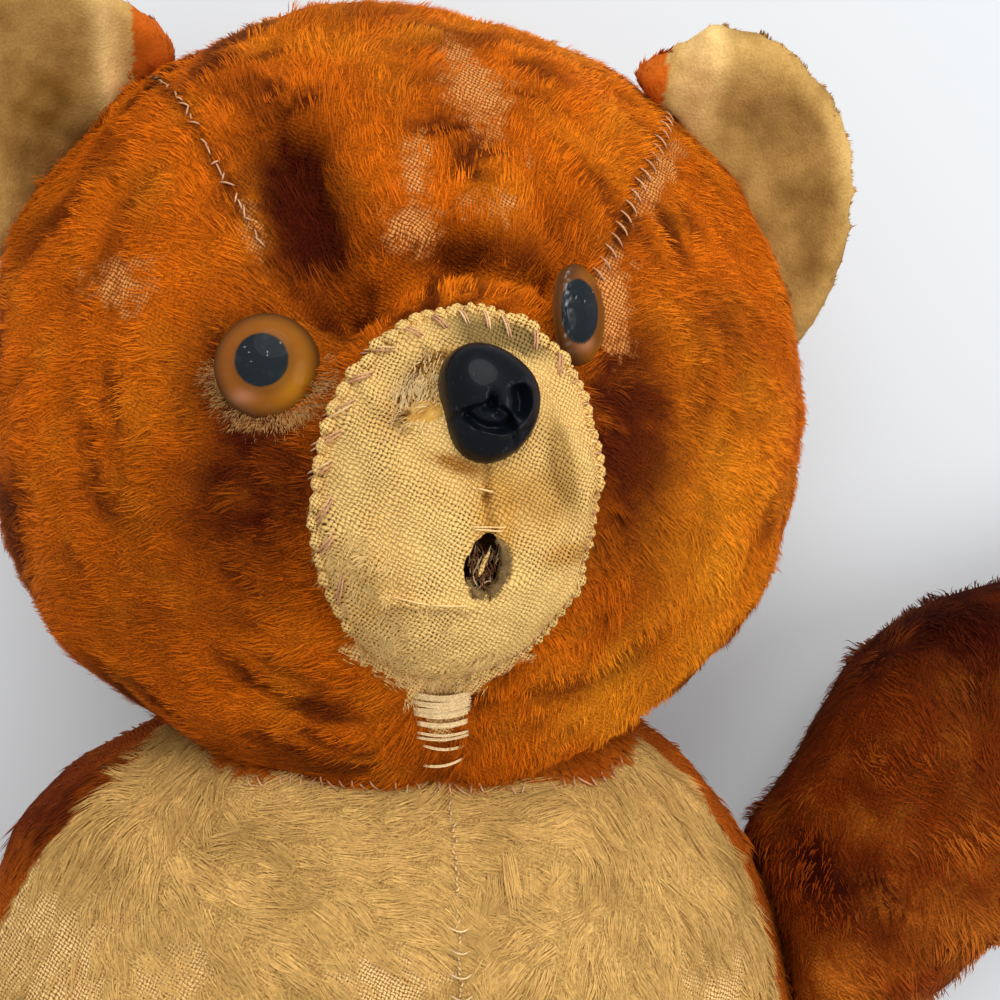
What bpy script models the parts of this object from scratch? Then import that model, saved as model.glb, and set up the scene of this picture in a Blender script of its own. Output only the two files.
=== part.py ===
"""A large threadbare teddy bear, lying on its back. Metres, +Z up.

The head points along +Y, the feet along -Y, and +X is the bear's own left. The origin is on the flat
of the back that the bear lies on. Every stuffed unit starts as a sphere cage that a function shapes.
Its panels of cloth are patches of that form with a thickness, and its stuffing is the form, shrunk.
"""

import math

import bmesh
import bpy
from mathutils import Matrix, Vector
from mathutils.bvhtree import BVHTree

# Cloth and clearances
PLUSH = 0.0025  # backing and trodden pile together
FELT = 0.0010
SEAM_GAP = 0.0015  # left along a seam between two panels
PAD_GAP = 0.0034  # round a paw pad or a sole, where the seam bends sharply
CLEAR = 0.0004  # left between pieces that touch
ROOM = 0.0010  # left between a cover and its stuffing
CAGE_SIZE = 1.02  # a cage is a little larger than the smooth form it makes

# Head: half width, half height and half depth of an egg that is turned and rolled on the neck
HEAD_HALF = Vector((0.097, 0.0955, 0.075))
HEAD_CENTRE = Vector((-0.014, 0.2135, 0.073))
JOWL = 0.04  # how much fuller the head is low at the sides
HEAD_TURN = math.radians(10)  # about Y, towards the bear's left
HEAD_ROLL = math.radians(-3)  # about Z
HEAD_COLUMNS = 16
HEAD_RINGS = 10
SEAM_RINGS = 2  # rings of the cage from the middle to the gusset's seam
FACE_CROWDING = 0.5  # draws the cage's columns together over the face
GUSSET_BROW = 0.033  # half width of the gusset between the eyes
GUSSET_CROWN = 0.058  # and over the crown
SNOUT_BASE = Vector((0.003, -0.018, 0.070))  # a low swelling under the muzzle
SNOUT_REACH = 0.034
SNOUT_HEIGHT = 0.007

# Worn folds of the face, in the head's X and Y: start, end, reach and depth
FACE_FOLDS = (
    (Vector((-0.034, 0.046)), Vector((-0.0235, 0.016)), 0.006, 0.0050),
    (Vector((-0.021, 0.012)), Vector((0.001, 0.024)), 0.005, 0.0035),
    (Vector((0.001, 0.024)), Vector((0.024, 0.021)), 0.005, 0.0030),
)

# Muzzle: an egg, in the head's frame
MUZZLE_PLACE = Vector((0.004, -0.021, 0.062))
MUZZLE_HALF = Vector((0.0325, 0.0425, 0.038))
MUZZLE_TAPER = 0.24  # how much narrower the egg is towards the nose
MUZZLE_SKIRT = 0.022
MUZZLE_COLUMNS = 12
MUZZLE_RINGS = 8
MUZZLE_OPENING = 0.93  # size of the opening in the head cover, against the muzzle
MUZZLE_FILLING = 0.87  # size of the stuffing inside the muzzle
MUZZLE_CLOTH = 0.0020  # its pile is worn away
OUTLINE_STEPS = 28

# Eyes: place in the head's X and Y, and the way each one looks
EYE_SEATS = (
    ("right", Vector((-0.0365, 0.0027)), Vector((-0.18, 0.02, 1.0))),
    ("left", Vector((0.0265, 0.0150)), Vector((0.86, 0.10, 0.80))),
)
EYE_RADIUS = 0.011
EYE_HEIGHT = 0.0068
EYE_EDGE = 0.0012
PUPIL_RADIUS = 0.0056
PUPIL_COVER = 0.0015  # amber over the pupil

# Stems and their washers
STEM_RADIUS = 0.0022
STEM_LENGTH = 0.0095
WASHER_RADIUS = 0.0080
WASHER_THICK = 0.0015

# Nose and mouth, in the muzzle's frame
NOSE_PLACE = Vector((0.0014, 0.0165))
NOSE_FACING = Vector((0.02, 0.30, 1.0))
NOSE_HALF = Vector((0.0100, 0.0116, 0.0088))
NOSTRIL = Vector((0.0038, -0.0035, 0.0085))
NOSTRIL_RADIUS = 0.0022
MOUTH_PLACE = Vector((0.0027, -0.0158))
MOUTH_HALF = Vector((0.0036, 0.0056))
MOUTH_DEPTH = 0.010
MOUTH_STEP = 0.0034  # from the cloth down to the lining's rim

# Chin: a cotton darn across the seam between muzzle and neck
DARN_PLACE = Vector((0.0050, -0.0735))
DARN_HALF = Vector((0.0052, 0.0080))
DARN_THICK = 0.0012

# Ears: a cupped disc each, half sunk in the head's outline
EAR_SEATS = (
    ("right", Vector((-0.087, 0.058, 0.008)), Vector((-0.80, 0.60))),
    ("left", Vector((0.0725, 0.0580, 0.014)), Vector((0.70, 0.71))),
)
EAR_HALF = Vector((0.0350, 0.0385))
EAR_CUP = 0.012
EAR_LEAN = math.radians(37)  # the rim leans towards the face
EAR_CLOTH = 0.0028
EAR_TURNOVER = 0.96  # size of the lining inside the rim of the back

# Body: a pear from the crotch to the neck, rolled towards the bear's left
BODY_HALF = Vector((0.117, 0.146, 0.067))
BODY_CENTRE = Vector((-0.017, 0.002, 0.065))
BODY_ROLL = math.radians(12)
BODY_TAPER = 0.05  # narrower at the shoulders than at the hips
SHOULDER_SQUARENESS = 2.8
HIP_SQUARENESS = 2.6
CHEST_SEAM = 83  # degrees round to the seam down the middle of the chest
CHEST_EDGES = (30, 167)  # degrees round the body from its left side to the chest's two seams
BODY_COLUMNS = 16
BODY_RINGS = 8

# Limbs: centres along each limb, and half widths and half depths there
ARM_LINES = (
    (
        "right",
        ((-0.062, 0.064, 0.052), (-0.115, 0.058, 0.048), (-0.170, 0.044, 0.043), (-0.240, 0.016, 0.039)),
    ),
    (
        "left",
        ((0.070, 0.044, 0.052), (0.114, 0.091, 0.048), (0.157, 0.133, 0.043), (0.227, 0.173, 0.039)),
    ),
)
ARM_GIRTH = ((0.034, 0.038), (0.0375, 0.042), (0.038, 0.041), (0.034, 0.036))
LEG_LINE = (
    (0.046, -0.090, 0.052),
    (0.062, -0.145, 0.050),
    (0.074, -0.195, 0.046),
    (0.084, -0.240, 0.052),
    (0.090, -0.290, 0.066),
)
LEG_GIRTH = ((0.042, 0.046), (0.047, 0.049), (0.043, 0.045), (0.041, 0.050), (0.041, 0.064))
LIMB_COLUMNS = 8
LIMB_RINGS = 6
ARM_SQUARENESS = 3.0
LEG_SQUARENESS = 4.0

# Colours
RUST = (0.50, 0.125, 0.022)
DARK_RUST = (0.30, 0.080, 0.022)
CREAM = (0.72, 0.50, 0.25)
WORN_CREAM = (0.74, 0.50, 0.27)
KAPOK = (0.70, 0.62, 0.47)


def clear_scene():
    for old in list(bpy.data.objects):
        bpy.data.objects.remove(old, do_unlink=True)


def new_collection(name):
    collection = bpy.data.collections.new(name)
    bpy.context.scene.collection.children.link(collection)
    return collection


clear_scene()
parts = new_collection("threadbare teddy bear")
cutters = new_collection("cutters")


def finish(name, colour, roughness=0.95, metallic=0.0):
    """A plain material in the piece's own colour."""
    material = bpy.data.materials.new(name)
    material.use_nodes = True
    shader = material.node_tree.nodes["Principled BSDF"]
    shader.inputs["Base Color"].default_value = (*colour, 1.0)
    shader.inputs["Roughness"].default_value = roughness
    shader.inputs["Metallic"].default_value = metallic
    return material


def add_part(name, mesh, frame, colour, roughness=0.95):
    """A piece of the bear, with a material of its own."""
    mesh.materials.clear()
    mesh.materials.append(finish(name, colour, roughness))
    piece = bpy.data.objects.new(name, mesh)
    piece.matrix_world = frame
    parts.objects.link(piece)
    return piece


def add_cutter(name, mesh, frame):
    """A solid that only shapes others."""
    tool = bpy.data.objects.new(name, mesh)
    tool.matrix_world = frame
    tool.display_type = "WIRE"
    tool.hide_render = True
    cutters.objects.link(tool)
    return tool


def boolean(piece, tools, operation="DIFFERENCE"):
    for tool in tools:
        step = piece.modifiers.new(f"{operation.lower()} {tool.name}", "BOOLEAN")
        step.operation = operation
        step.solver = "EXACT"
        step.object = tool


def thicken(piece, thick, side=-1.0):
    """Cloth of this thickness under the surface, or over it where side is 1."""
    wall = piece.modifiers.new("cloth", "SOLIDIFY")
    wall.thickness = thick
    wall.offset = side


def evaluated(holder):
    """The mesh of a helper object with its modifiers, and the helper is removed."""
    bpy.context.scene.collection.objects.link(holder)
    graph = bpy.context.evaluated_depsgraph_get()
    mesh = bpy.data.meshes.new_from_object(holder.evaluated_get(graph))
    bpy.data.objects.remove(holder)
    return mesh


def smooth_step(value):
    value = max(0.0, min(1.0, value))
    return value * value * (3 - 2 * value)


# Forms, and the panels and stuffing made of them


def sphere_angles(unit):
    """Angle round the poles of the cage's sphere, and angle from its equator."""
    return math.atan2(unit.y, unit.x), math.asin(max(-1.0, min(1.0, unit.z)))


def soft_form(columns, rings, place, panel_of=None, keep=None):
    """A soft form: a sphere cage put where place() says, then subdivided.

    Each face keeps the number of its panel as its material index.
    """
    cage = bmesh.new()
    bmesh.ops.create_uvsphere(cage, u_segments=columns, v_segments=rings, radius=1.0)
    if panel_of:
        for face in cage.faces:
            face.material_index = panel_of(face.calc_center_median())
    if keep:
        dropped = [vert for vert in cage.verts if not keep(vert.co)]
        bmesh.ops.delete(cage, geom=dropped, context="VERTS")
    for vert in cage.verts:
        vert.co = place(vert.co.copy())
    bmesh.ops.recalc_face_normals(cage, faces=cage.faces)
    outward = cage.calc_volume(signed=True)
    if keep:
        outward = sum(face.normal.z * face.calc_area() for face in cage.faces)
    if outward < 0:
        bmesh.ops.reverse_faces(cage, faces=cage.faces)
    mesh = bpy.data.meshes.new("cage")
    cage.to_mesh(mesh)
    cage.free()
    for _ in range(3):
        mesh.materials.append(None)
    holder = bpy.data.objects.new("cage", mesh)
    soften = holder.modifiers.new("soften", "SUBSURF")
    soften.levels = 1
    soften.render_levels = 1
    return evaluated(holder)


def rest_on_floor(form, frame):
    """Flatten whatever would reach below the floor."""
    back = frame.inverted()
    for vert in form.vertices:
        point = frame @ vert.co
        if point.z < 0:
            point.z = 0.0
            vert.co = back @ point


def offset_form(form, distance):
    """A copy of the form, grown by distance, or shrunk where that is negative."""
    copy = form.copy()
    for vert, source in zip(copy.vertices, form.vertices):
        vert.co = source.co + source.normal * distance
    return copy


def pull_back(cloth, distance):
    """Draw a panel's raw edge inward, so that it clears the next panel."""
    shifts = {}
    for edge in cloth.edges:
        if edge.is_boundary:
            face = edge.link_faces[0]
            along = (edge.verts[1].co - edge.verts[0].co).normalized()
            inward = face.normal.cross(along)
            if inward.dot(face.calc_center_median() - edge.verts[0].co) < 0:
                inward.negate()
            for vert in edge.verts:
                shifts[vert] = shifts.get(vert, Vector()) + inward
    for vert, inward in shifts.items():
        vert.co += inward.normalized() * distance


def add_panel(name, form, number, frame, colour, gap=SEAM_GAP):
    """One sewn panel: the form's faces with this number, with a thickness inward."""
    cloth = bmesh.new()
    cloth.from_mesh(form)
    others = [face for face in cloth.faces if face.material_index != number]
    bmesh.ops.delete(cloth, geom=others, context="FACES")
    cloth.normal_update()
    pull_back(cloth, gap / 2)
    for face in cloth.faces:
        face.material_index = 0
    mesh = bpy.data.meshes.new(name)
    cloth.to_mesh(mesh)
    cloth.free()
    piece = add_part(name, mesh, frame, colour)
    thicken(piece, PLUSH)
    return piece


def add_stuffing(name, form, frame):
    """What fills a cover."""
    return add_part(name, offset_form(form, -(PLUSH + ROOM)), frame, KAPOK)


def turned(name, profile, segments=20):
    """A turned solid about Z, from a profile that runs from top to bottom on its outer side."""
    mesh = bpy.data.meshes.new(name)
    corners = [(radius, 0.0, height) for radius, height in profile]
    edges = [(index, index + 1) for index in range(len(corners) - 1)]
    mesh.from_pydata(corners, edges, [])
    holder = bpy.data.objects.new(name, mesh)
    screw = holder.modifiers.new("turn", "SCREW")
    screw.steps = segments
    screw.render_steps = segments
    screw.use_merge_vertices = True
    screw.merge_threshold = 0.00001
    solid = evaluated(holder)
    solid.shade_smooth()
    solid.set_sharp_from_angle(angle=math.radians(40))
    return solid


def prism(name, outline, low, high):
    """An upright prism over a closed outline in X and Y."""
    body = bmesh.new()
    base = body.faces.new([body.verts.new((x, y, low)) for x, y in outline])
    grown = bmesh.ops.extrude_face_region(body, geom=[base])["geom"]
    for item in grown:
        if isinstance(item, bmesh.types.BMVert):
            item.co.z = high
    bmesh.ops.recalc_face_normals(body, faces=body.faces)
    mesh = bpy.data.meshes.new(name)
    body.to_mesh(mesh)
    body.free()
    return mesh


def front_point(form, place):
    """The point of the form's front over this X and Y."""
    faces = [face.vertices for face in form.polygons]
    tree = BVHTree.FromPolygons([vert.co for vert in form.vertices], faces)
    return tree.ray_cast(Vector((place.x, place.y, 1.0)), Vector((0.0, 0.0, -1.0)))[0]


def seat_frame(form, place, facing):
    """A frame on the form's front whose Z stands out along facing."""
    turn = facing.normalized().to_track_quat("Z", "Y").to_matrix().to_4x4()
    return Matrix.Translation(front_point(form, place)) @ turn


def press_seat(form, seat, radius):
    """Flatten the cloth under a button, so that its back lies on it."""
    back = seat.inverted()
    for vert in form.vertices:
        local = back @ vert.co
        away = math.hypot(local.x, local.y)
        if away < radius * 1.8 and abs(local.z) < radius * 1.3:
            hold = 1 - smooth_step((away - radius) / (radius * 0.8))
            local.z -= (local.z + CLEAR) * hold
            vert.co = seat @ local


# Buttons: a stem through the cloth and a washer behind it


def button_room(name, radius, frame):
    """Room for a button over the cloth, for its stem, and for its washer behind the cloth."""
    over = 0.025
    behind = -(PLUSH + CLEAR)
    profile = (
        (0.0, over),
        (radius + CLEAR, over),
        (radius + CLEAR, -CLEAR / 2),
        (STEM_RADIUS + CLEAR, -CLEAR / 2),
        (STEM_RADIUS + CLEAR, behind),
        (WASHER_RADIUS + CLEAR, behind),
        (WASHER_RADIUS + CLEAR, -STEM_LENGTH - CLEAR),
        (0.0, -STEM_LENGTH - CLEAR),
    )
    return add_cutter(name, turned(name, profile), frame)


def add_washer(name, frame):
    """A toothed washer, driven onto the stem behind the cloth."""
    top = -(PLUSH + 2 * CLEAR)
    bore = STEM_RADIUS + CLEAR / 2
    profile = (
        (bore, top),
        (bore + 0.0020, top),
        (WASHER_RADIUS - 0.0010, top - 0.0004),
        (WASHER_RADIUS, top - WASHER_THICK),
        (bore, top - WASHER_THICK),
        (bore, top),
    )
    add_part(name, turned(name, profile), frame, (0.75, 0.73, 0.68), 0.5)


def add_eye(side, frame):
    """An amber lens over a black pupil, whose stem goes through the cloth into a washer."""
    steps = 5
    lens = []
    for step in range(steps + 1):
        angle = math.pi / 2 * step / steps
        height = EYE_EDGE + (EYE_HEIGHT - EYE_EDGE) * math.cos(angle)
        lens.append((EYE_RADIUS * math.sin(angle), height))
    pocket = PUPIL_RADIUS + CLEAR / 2
    roof = EYE_HEIGHT - PUPIL_COVER
    lens += [(EYE_RADIUS - 0.0004, 0.0), (pocket, 0.0), (pocket, roof), (0.0, roof)]
    add_part(f"eye_lens_{side}", turned("lens", lens), frame, (0.42, 0.13, 0.02), 0.1)
    crown = roof - CLEAR / 2
    pupil = (
        (0.0, crown),
        (PUPIL_RADIUS, crown - 0.0004),
        (PUPIL_RADIUS, 0.0),
        (STEM_RADIUS, 0.0),
        (STEM_RADIUS, -STEM_LENGTH),
        (0.0, -STEM_LENGTH),
    )
    add_part(f"eye_pupil_{side}", turned("pupil", pupil), frame, (0.02, 0.021, 0.024), 0.2)
    add_washer(f"eye_washer_{side}", frame)


def add_nose(frame):
    """A moulded nose: a rounded triangle with two nostrils, and a stem into a washer."""

    def place(unit):
        x = NOSE_HALF.x * unit.x * (1 + 0.20 * unit.y)
        y = NOSE_HALF.y * unit.y
        z = NOSE_HALF.z * max(unit.z, 0.0) * (1 + 0.15 * unit.y)
        return Vector((x, y, z))

    form = soft_form(10, 6, place)
    nose = add_part("nose", form, frame, (0.02, 0.021, 0.024), 0.25)
    root = NOSE_HALF.z / 3
    stem = ((0.0, root), (STEM_RADIUS, root), (STEM_RADIUS, -STEM_LENGTH), (0.0, -STEM_LENGTH))
    boolean(nose, [add_cutter("nose stem", turned("stem", stem), frame)], "UNION")
    for side in (-1, 1):
        hollow = bmesh.new()
        bmesh.ops.create_icosphere(hollow, subdivisions=2, radius=NOSTRIL_RADIUS)
        mesh = bpy.data.meshes.new("nostril")
        hollow.to_mesh(mesh)
        hollow.free()
        spot = Matrix.Translation((side * NOSTRIL.x, NOSTRIL.y, NOSTRIL.z))
        boolean(nose, [add_cutter(f"nostril {side}", mesh, frame @ spot)])
    add_washer("nose_washer", frame)


# Head


def head_frame():
    turn = Matrix.Rotation(HEAD_TURN, 4, "Y")
    roll = Matrix.Rotation(HEAD_ROLL, 4, "Z")
    return Matrix.Translation(HEAD_CENTRE) @ roll @ turn


def gusset_half_width(around):
    """The gusset is wide over the crown, and narrower at the brow and the nape."""
    over_crown = (0.5 + 0.5 * math.cos(around - math.radians(20))) ** 6
    return GUSSET_BROW + (GUSSET_CROWN - GUSSET_BROW) * over_crown


def head_point(unit):
    """The cage of the head: the sphere's poles are the sides of the head, and its column 0 the crown."""
    column, across = sphere_angles(unit)
    around = column - FACE_CROWDING * math.sin(column - math.pi / 2)
    seam = math.asin(gusset_half_width(around) / HEAD_HALF.x)
    rings = abs(across) / (math.pi / HEAD_RINGS)
    if rings <= SEAM_RINGS:
        spread = seam * rings / SEAM_RINGS
    else:
        beyond = (rings - SEAM_RINGS) / (HEAD_RINGS / 2 - SEAM_RINGS)
        spread = seam + (math.pi / 2 - seam) * beyond
    x = math.copysign(HEAD_HALF.x * math.sin(spread), across)
    y = HEAD_HALF.y * math.cos(spread) * math.cos(around)
    z = HEAD_HALF.z * math.cos(spread) * math.sin(around)
    if y < 0:
        fuller = 1 + JOWL * math.sin(2 * math.atan2(abs(y), abs(x))) ** 2
        x *= fuller
        y *= fuller
    return Vector((x, y, z)) * CAGE_SIZE


def head_panel(unit):
    """0 is the gusset, 1 the bear's right side and 2 its left side."""
    column, across = sphere_angles(unit)
    in_band = abs(across) < SEAM_RINGS * math.pi / HEAD_RINGS
    if in_band and -115 < math.degrees(column) < 60:
        return 0
    return 1 if across < 0 else 2


def fold_depth(point, start, end, reach, depth):
    """How deep the fold from start to end is at this point of the face."""
    flat = Vector((point.x, point.y))
    line = end - start
    share = max(0.0, min(1.0, (flat - start).dot(line) / line.length_squared))
    away = (flat - start - line * share).length
    return depth * math.exp(-away * away / (2 * reach * reach))


def shape_face(form):
    """Push out the base of the snout, and press in the folds that wear has left."""
    for vert in form.vertices:
        if vert.co.z > 0:
            near = (vert.co - SNOUT_BASE).length_squared / (2 * SNOUT_REACH**2)
            lift = SNOUT_HEIGHT * math.exp(-near)
            drop = sum(fold_depth(vert.co, *fold) for fold in FACE_FOLDS)
            vert.co.z += lift - drop


def egg(angle, size=1.0):
    """The muzzle's outline: an egg with its narrow end towards the forehead."""
    rise = math.sin(angle)
    width = 1 - MUZZLE_TAPER * max(rise, 0.0) ** 1.5
    return MUZZLE_HALF.x * math.cos(angle) * width * size, MUZZLE_HALF.y * rise * size


def muzzle_point(size, height, skirt):
    """Places the cage of the muzzle, or of what fills it: a dome on an upright skirt."""

    def place(unit):
        angle, up = sphere_angles(unit)
        if up >= -0.01:
            x, y = egg(angle, size * max(math.cos(up), 0.0) ** 0.75)
            return Vector((x, y, height * math.sin(up) ** 0.85 if up > 0 else 0.0))
        if up > -math.pi / 2 + 0.01:
            x, y = egg(angle, size * (1.0 if up > -0.8 else 0.6))
            return Vector((x, y, -skirt))
        return Vector((0.0, 0.0, -skirt))

    return place


def mouth_outline(grown):
    """A teardrop, pointed towards the nose, grown outward by this much."""
    outline = []
    steps = 16
    for step in range(steps):
        angle = 2 * math.pi * step / steps
        rise = math.sin(angle)
        width = 1 - 0.45 * max(rise, 0.0)
        x = (MOUTH_HALF.x + grown) * math.cos(angle) * width
        outline.append((MOUTH_PLACE.x + x, MOUTH_PLACE.y + (MOUTH_HALF.y + grown) * rise))
    return outline


def add_mouth_lining(frame, top):
    """A small felt cup behind the tear, open towards the front."""
    wall = bmesh.new()
    rim = [wall.verts.new((x, y, top)) for x, y in mouth_outline(FELT)]
    base = wall.faces.new(rim)
    grown = bmesh.ops.extrude_face_region(wall, geom=[base])["geom"]
    for item in grown:
        if isinstance(item, bmesh.types.BMVert):
            item.co.z = top - MOUTH_DEPTH
    bmesh.ops.delete(wall, geom=[base], context="FACES_ONLY")
    bmesh.ops.recalc_face_normals(wall, faces=wall.faces)
    mesh = bpy.data.meshes.new("mouth_lining")
    wall.to_mesh(mesh)
    wall.free()
    if mesh.polygons[0].normal.z > 0:
        mesh.flip_normals()
    thicken(add_part("mouth_lining", mesh, frame, (0.55, 0.36, 0.20)), FELT)


def add_darn(frame, form, head_room):
    """A pad of darning cotton sewn over the chin's seam."""
    patch = bmesh.new()
    bmesh.ops.create_grid(patch, x_segments=3, y_segments=4, size=1.0)
    for vert in patch.verts:
        spot = DARN_PLACE + Vector((vert.co.x * DARN_HALF.x, vert.co.y * DARN_HALF.y))
        vert.co = front_point(form, spot) + Vector((0.0, 0.0, DARN_THICK))
    mesh = bpy.data.meshes.new("chin_darn")
    patch.to_mesh(mesh)
    patch.free()
    darn = add_part("chin_darn", mesh, frame, (0.86, 0.70, 0.45))
    thicken(darn, 2 * DARN_THICK)
    boolean(darn, [head_room])


def add_head(body_room):
    """The head's cover in three panels, the muzzle, what is fixed in them, and the stuffing."""
    frame = head_frame()
    form = soft_form(HEAD_COLUMNS, HEAD_RINGS, head_point, head_panel)
    shape_face(form)
    seats = []
    for side, place, facing in EYE_SEATS:
        seat = seat_frame(form, place, facing)
        press_seat(form, seat, EYE_RADIUS)
        seats.append((side, frame @ seat))
    rest_on_floor(form, frame)
    head_room = add_cutter("head room", offset_form(form, CLEAR), frame)

    muzzle_frame = frame @ Matrix.Translation(MUZZLE_PLACE)
    dome = soft_form(
        MUZZLE_COLUMNS,
        MUZZLE_RINGS,
        muzzle_point(1.0, MUZZLE_HALF.z, MUZZLE_SKIRT),
        keep=lambda co: co.z > -0.5,
    )
    nose_seat = seat_frame(dome, NOSE_PLACE, NOSE_FACING)
    press_seat(dome, nose_seat, NOSE_HALF.x)
    eye_rooms = []
    for side, seat in seats:
        eye_rooms.append(button_room(f"eye room {side}", EYE_RADIUS, seat))
        add_eye(side, seat)
    nose_room = button_room("nose room", NOSE_HALF.y + 0.001, muzzle_frame @ nose_seat)
    add_nose(muzzle_frame @ nose_seat)

    turns = [2 * math.pi * step / OUTLINE_STEPS for step in range(OUTLINE_STEPS)]
    outline = [egg(turn, MUZZLE_OPENING) for turn in turns]
    opening_shape = prism("opening", outline, -MUZZLE_HALF.z, 2 * MUZZLE_HALF.z)
    opening = add_cutter("muzzle opening", opening_shape, muzzle_frame)
    mouth_top = front_point(dome, MOUTH_PLACE).z
    over = mouth_top + 2 * MOUTH_DEPTH
    tear_shape = prism("tear", mouth_outline(0.0), mouth_top - 2 * MOUTH_DEPTH, over)
    tear = add_cutter("mouth tear", tear_shape, muzzle_frame)
    lining_top = mouth_top - PLUSH - MOUTH_STEP
    pocket_floor = lining_top - MOUTH_DEPTH - CLEAR
    pocket_shape = prism("pocket", mouth_outline(FELT + CLEAR), pocket_floor, over)
    pocket = add_cutter("mouth pocket", pocket_shape, muzzle_frame)
    add_mouth_lining(muzzle_frame, lining_top)

    for number, name in enumerate(("head_gusset", "head_side_right", "head_side_left")):
        cover = add_panel(name, form, number, frame, RUST)
        boolean(cover, [opening, *eye_rooms, body_room])

    muzzle = add_part("muzzle", dome, muzzle_frame, WORN_CREAM)
    thicken(muzzle, MUZZLE_CLOTH)
    boolean(muzzle, [head_room, nose_room, tear])

    filling_shape = soft_form(
        MUZZLE_COLUMNS,
        MUZZLE_RINGS,
        muzzle_point(MUZZLE_FILLING, MUZZLE_HALF.z - MUZZLE_CLOTH - 2 * ROOM, MUZZLE_SKIRT),
    )
    filling = add_cutter("muzzle filling", filling_shape, muzzle_frame)
    stuffing = add_stuffing("head_stuffing", form, frame)
    boolean(stuffing, [filling], "UNION")
    boolean(stuffing, [*eye_rooms, nose_room, pocket, body_room])

    add_darn(frame, form, head_room)
    for side, place, out in EAR_SEATS:
        add_ear(side, frame @ Matrix.Translation(place), out, head_room)
    return head_room


def add_ear(side, place, out, head_room):
    """A cream lining in a rust back, both cupped, and sunk in the head's seam."""
    rise = Vector((out.x, out.y, math.tan(EAR_LEAN))).normalized()
    base = Vector((out.y, -out.x, 0.0)).normalized()
    facing = base.cross(rise)
    seat = place @ Matrix((base, rise, facing)).transposed().to_4x4()
    layers = (("back", RUST, 1.0, 0.0, -1.0), ("lining", CREAM, EAR_TURNOVER, CLEAR, 1.0))
    for layer, colour, size, lift, way in layers:

        def cupped(unit):
            cup = EAR_CUP * (unit.x * unit.x + 0.6 * max(unit.y, 0.0) ** 2)
            return Vector((EAR_HALF.x * unit.x * size, EAR_HALF.y * unit.y * size, cup + lift))

        cloth = soft_form(12, 6, cupped, keep=lambda co: co.z > -0.1)
        piece = add_part(f"ear_{layer}_{side}", cloth, seat, colour)
        thicken(piece, EAR_CLOTH, way)
        boolean(piece, [head_room])


# Body


def body_frame():
    return Matrix.Translation(BODY_CENTRE) @ Matrix.Rotation(BODY_ROLL, 4, "Y")


def body_point(unit):
    """The cage of the body: the sphere's poles are the neck and the crotch."""
    angle, along_body = sphere_angles(unit)
    degrees = math.degrees(angle) % 360
    low, high = CHEST_EDGES
    marks = ((0, 0), (22.5, low), (90, CHEST_SEAM), (157.5, high), (270, 270), (360, 360))
    for (start, moved_start), (end, moved_end) in zip(marks, marks[1:]):
        if start <= degrees <= end:
            share = (degrees - start) / (end - start)
            turned_to = math.radians(moved_start + (moved_end - moved_start) * share)
    squareness = SHOULDER_SQUARENESS if unit.z > 0 else HIP_SQUARENESS
    ring = max(1 - abs(unit.z) ** squareness, 0.0) ** (1 / squareness)
    taper = 1 - BODY_TAPER * max(unit.z, 0.0)
    x = BODY_HALF.x * ring * math.cos(turned_to) * taper
    z = BODY_HALF.z * ring * math.sin(turned_to)
    return Vector((x, BODY_HALF.y * unit.z, z)) * CAGE_SIZE


def body_panel(unit):
    """0 is the back, 1 the right half of the front and 2 its left half."""
    angle = math.degrees(sphere_angles(unit)[0])
    if not 22 < angle < 158:
        return 0
    return 1 if angle > 90 else 2


def add_body():
    frame = body_frame()
    form = soft_form(BODY_COLUMNS, BODY_RINGS, body_point, body_panel)
    rest_on_floor(form, frame)
    add_panel("back", form, 0, frame, RUST)
    add_panel("chest_right", form, 1, frame, CREAM)
    add_panel("chest_left", form, 2, frame, CREAM)
    add_stuffing("body_stuffing", form, frame)
    return add_cutter("body room", offset_form(form, CLEAR), frame)


# Limbs


def along(points, share):
    """A point on the smooth line through four points, at a share of its length."""
    place = share * (len(points) - 1)
    index = min(int(place), len(points) - 2)
    step = place - index
    before = Vector(points[max(index - 1, 0)])
    start = Vector(points[index])
    end = Vector(points[index + 1])
    after = Vector(points[min(index + 2, len(points) - 1)])
    leave = (end - before) / 2
    arrive = (after - start) / 2
    return (
        start * (2 * step**3 - 3 * step**2 + 1)
        + leave * (step**3 - 2 * step**2 + step)
        + end * (3 * step**2 - 2 * step**3)
        + arrive * (step**3 - step**2)
    )


def limb_point(line, girth, squareness):
    """Places a limb's cage: rings across the line from the joint to the tip."""

    def place(unit):
        share = 0.5 + 0.5 * unit.z
        centre = along(line, share)
        ahead = along(line, min(share + 0.05, 1.0)) - along(line, max(share - 0.05, 0.0))
        across = ahead.cross(Vector((0, 0, 1))).normalized()
        width, depth, _ = along([(*pair, 0.0) for pair in girth], share)
        ring = math.hypot(unit.x, unit.y)
        size = (1 - abs(unit.z) ** squareness) ** (1 / squareness) / ring if ring > 0.001 else 0.0
        return centre + across * (width * unit.x * size) + Vector((0.0, 0.0, depth * unit.y * size))

    return place


def add_limb(name, line, girth, pad_name, is_pad, rooms, squareness):
    """A limb's cover with its pad, and its stuffing."""
    frame = Matrix.Identity(4)
    place = limb_point(line, girth, squareness)
    form = soft_form(LIMB_COLUMNS, LIMB_RINGS, place, lambda unit: 1 if is_pad(unit) else 0)
    rest_on_floor(form, frame)
    cover = add_panel(name, form, 0, frame, DARK_RUST)
    boolean(cover, rooms)
    add_panel(pad_name, form, 1, frame, CREAM, PAD_GAP)
    stuffing = add_stuffing(f"{name}_stuffing", form, frame)
    boolean(stuffing, rooms)


def palm(unit):
    """The inner face of the paw."""
    return unit.z > 0.5 and 30 < math.degrees(sphere_angles(unit)[0]) < 150


def sole(unit):
    """The end of the foot."""
    return unit.z > 0.85


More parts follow.
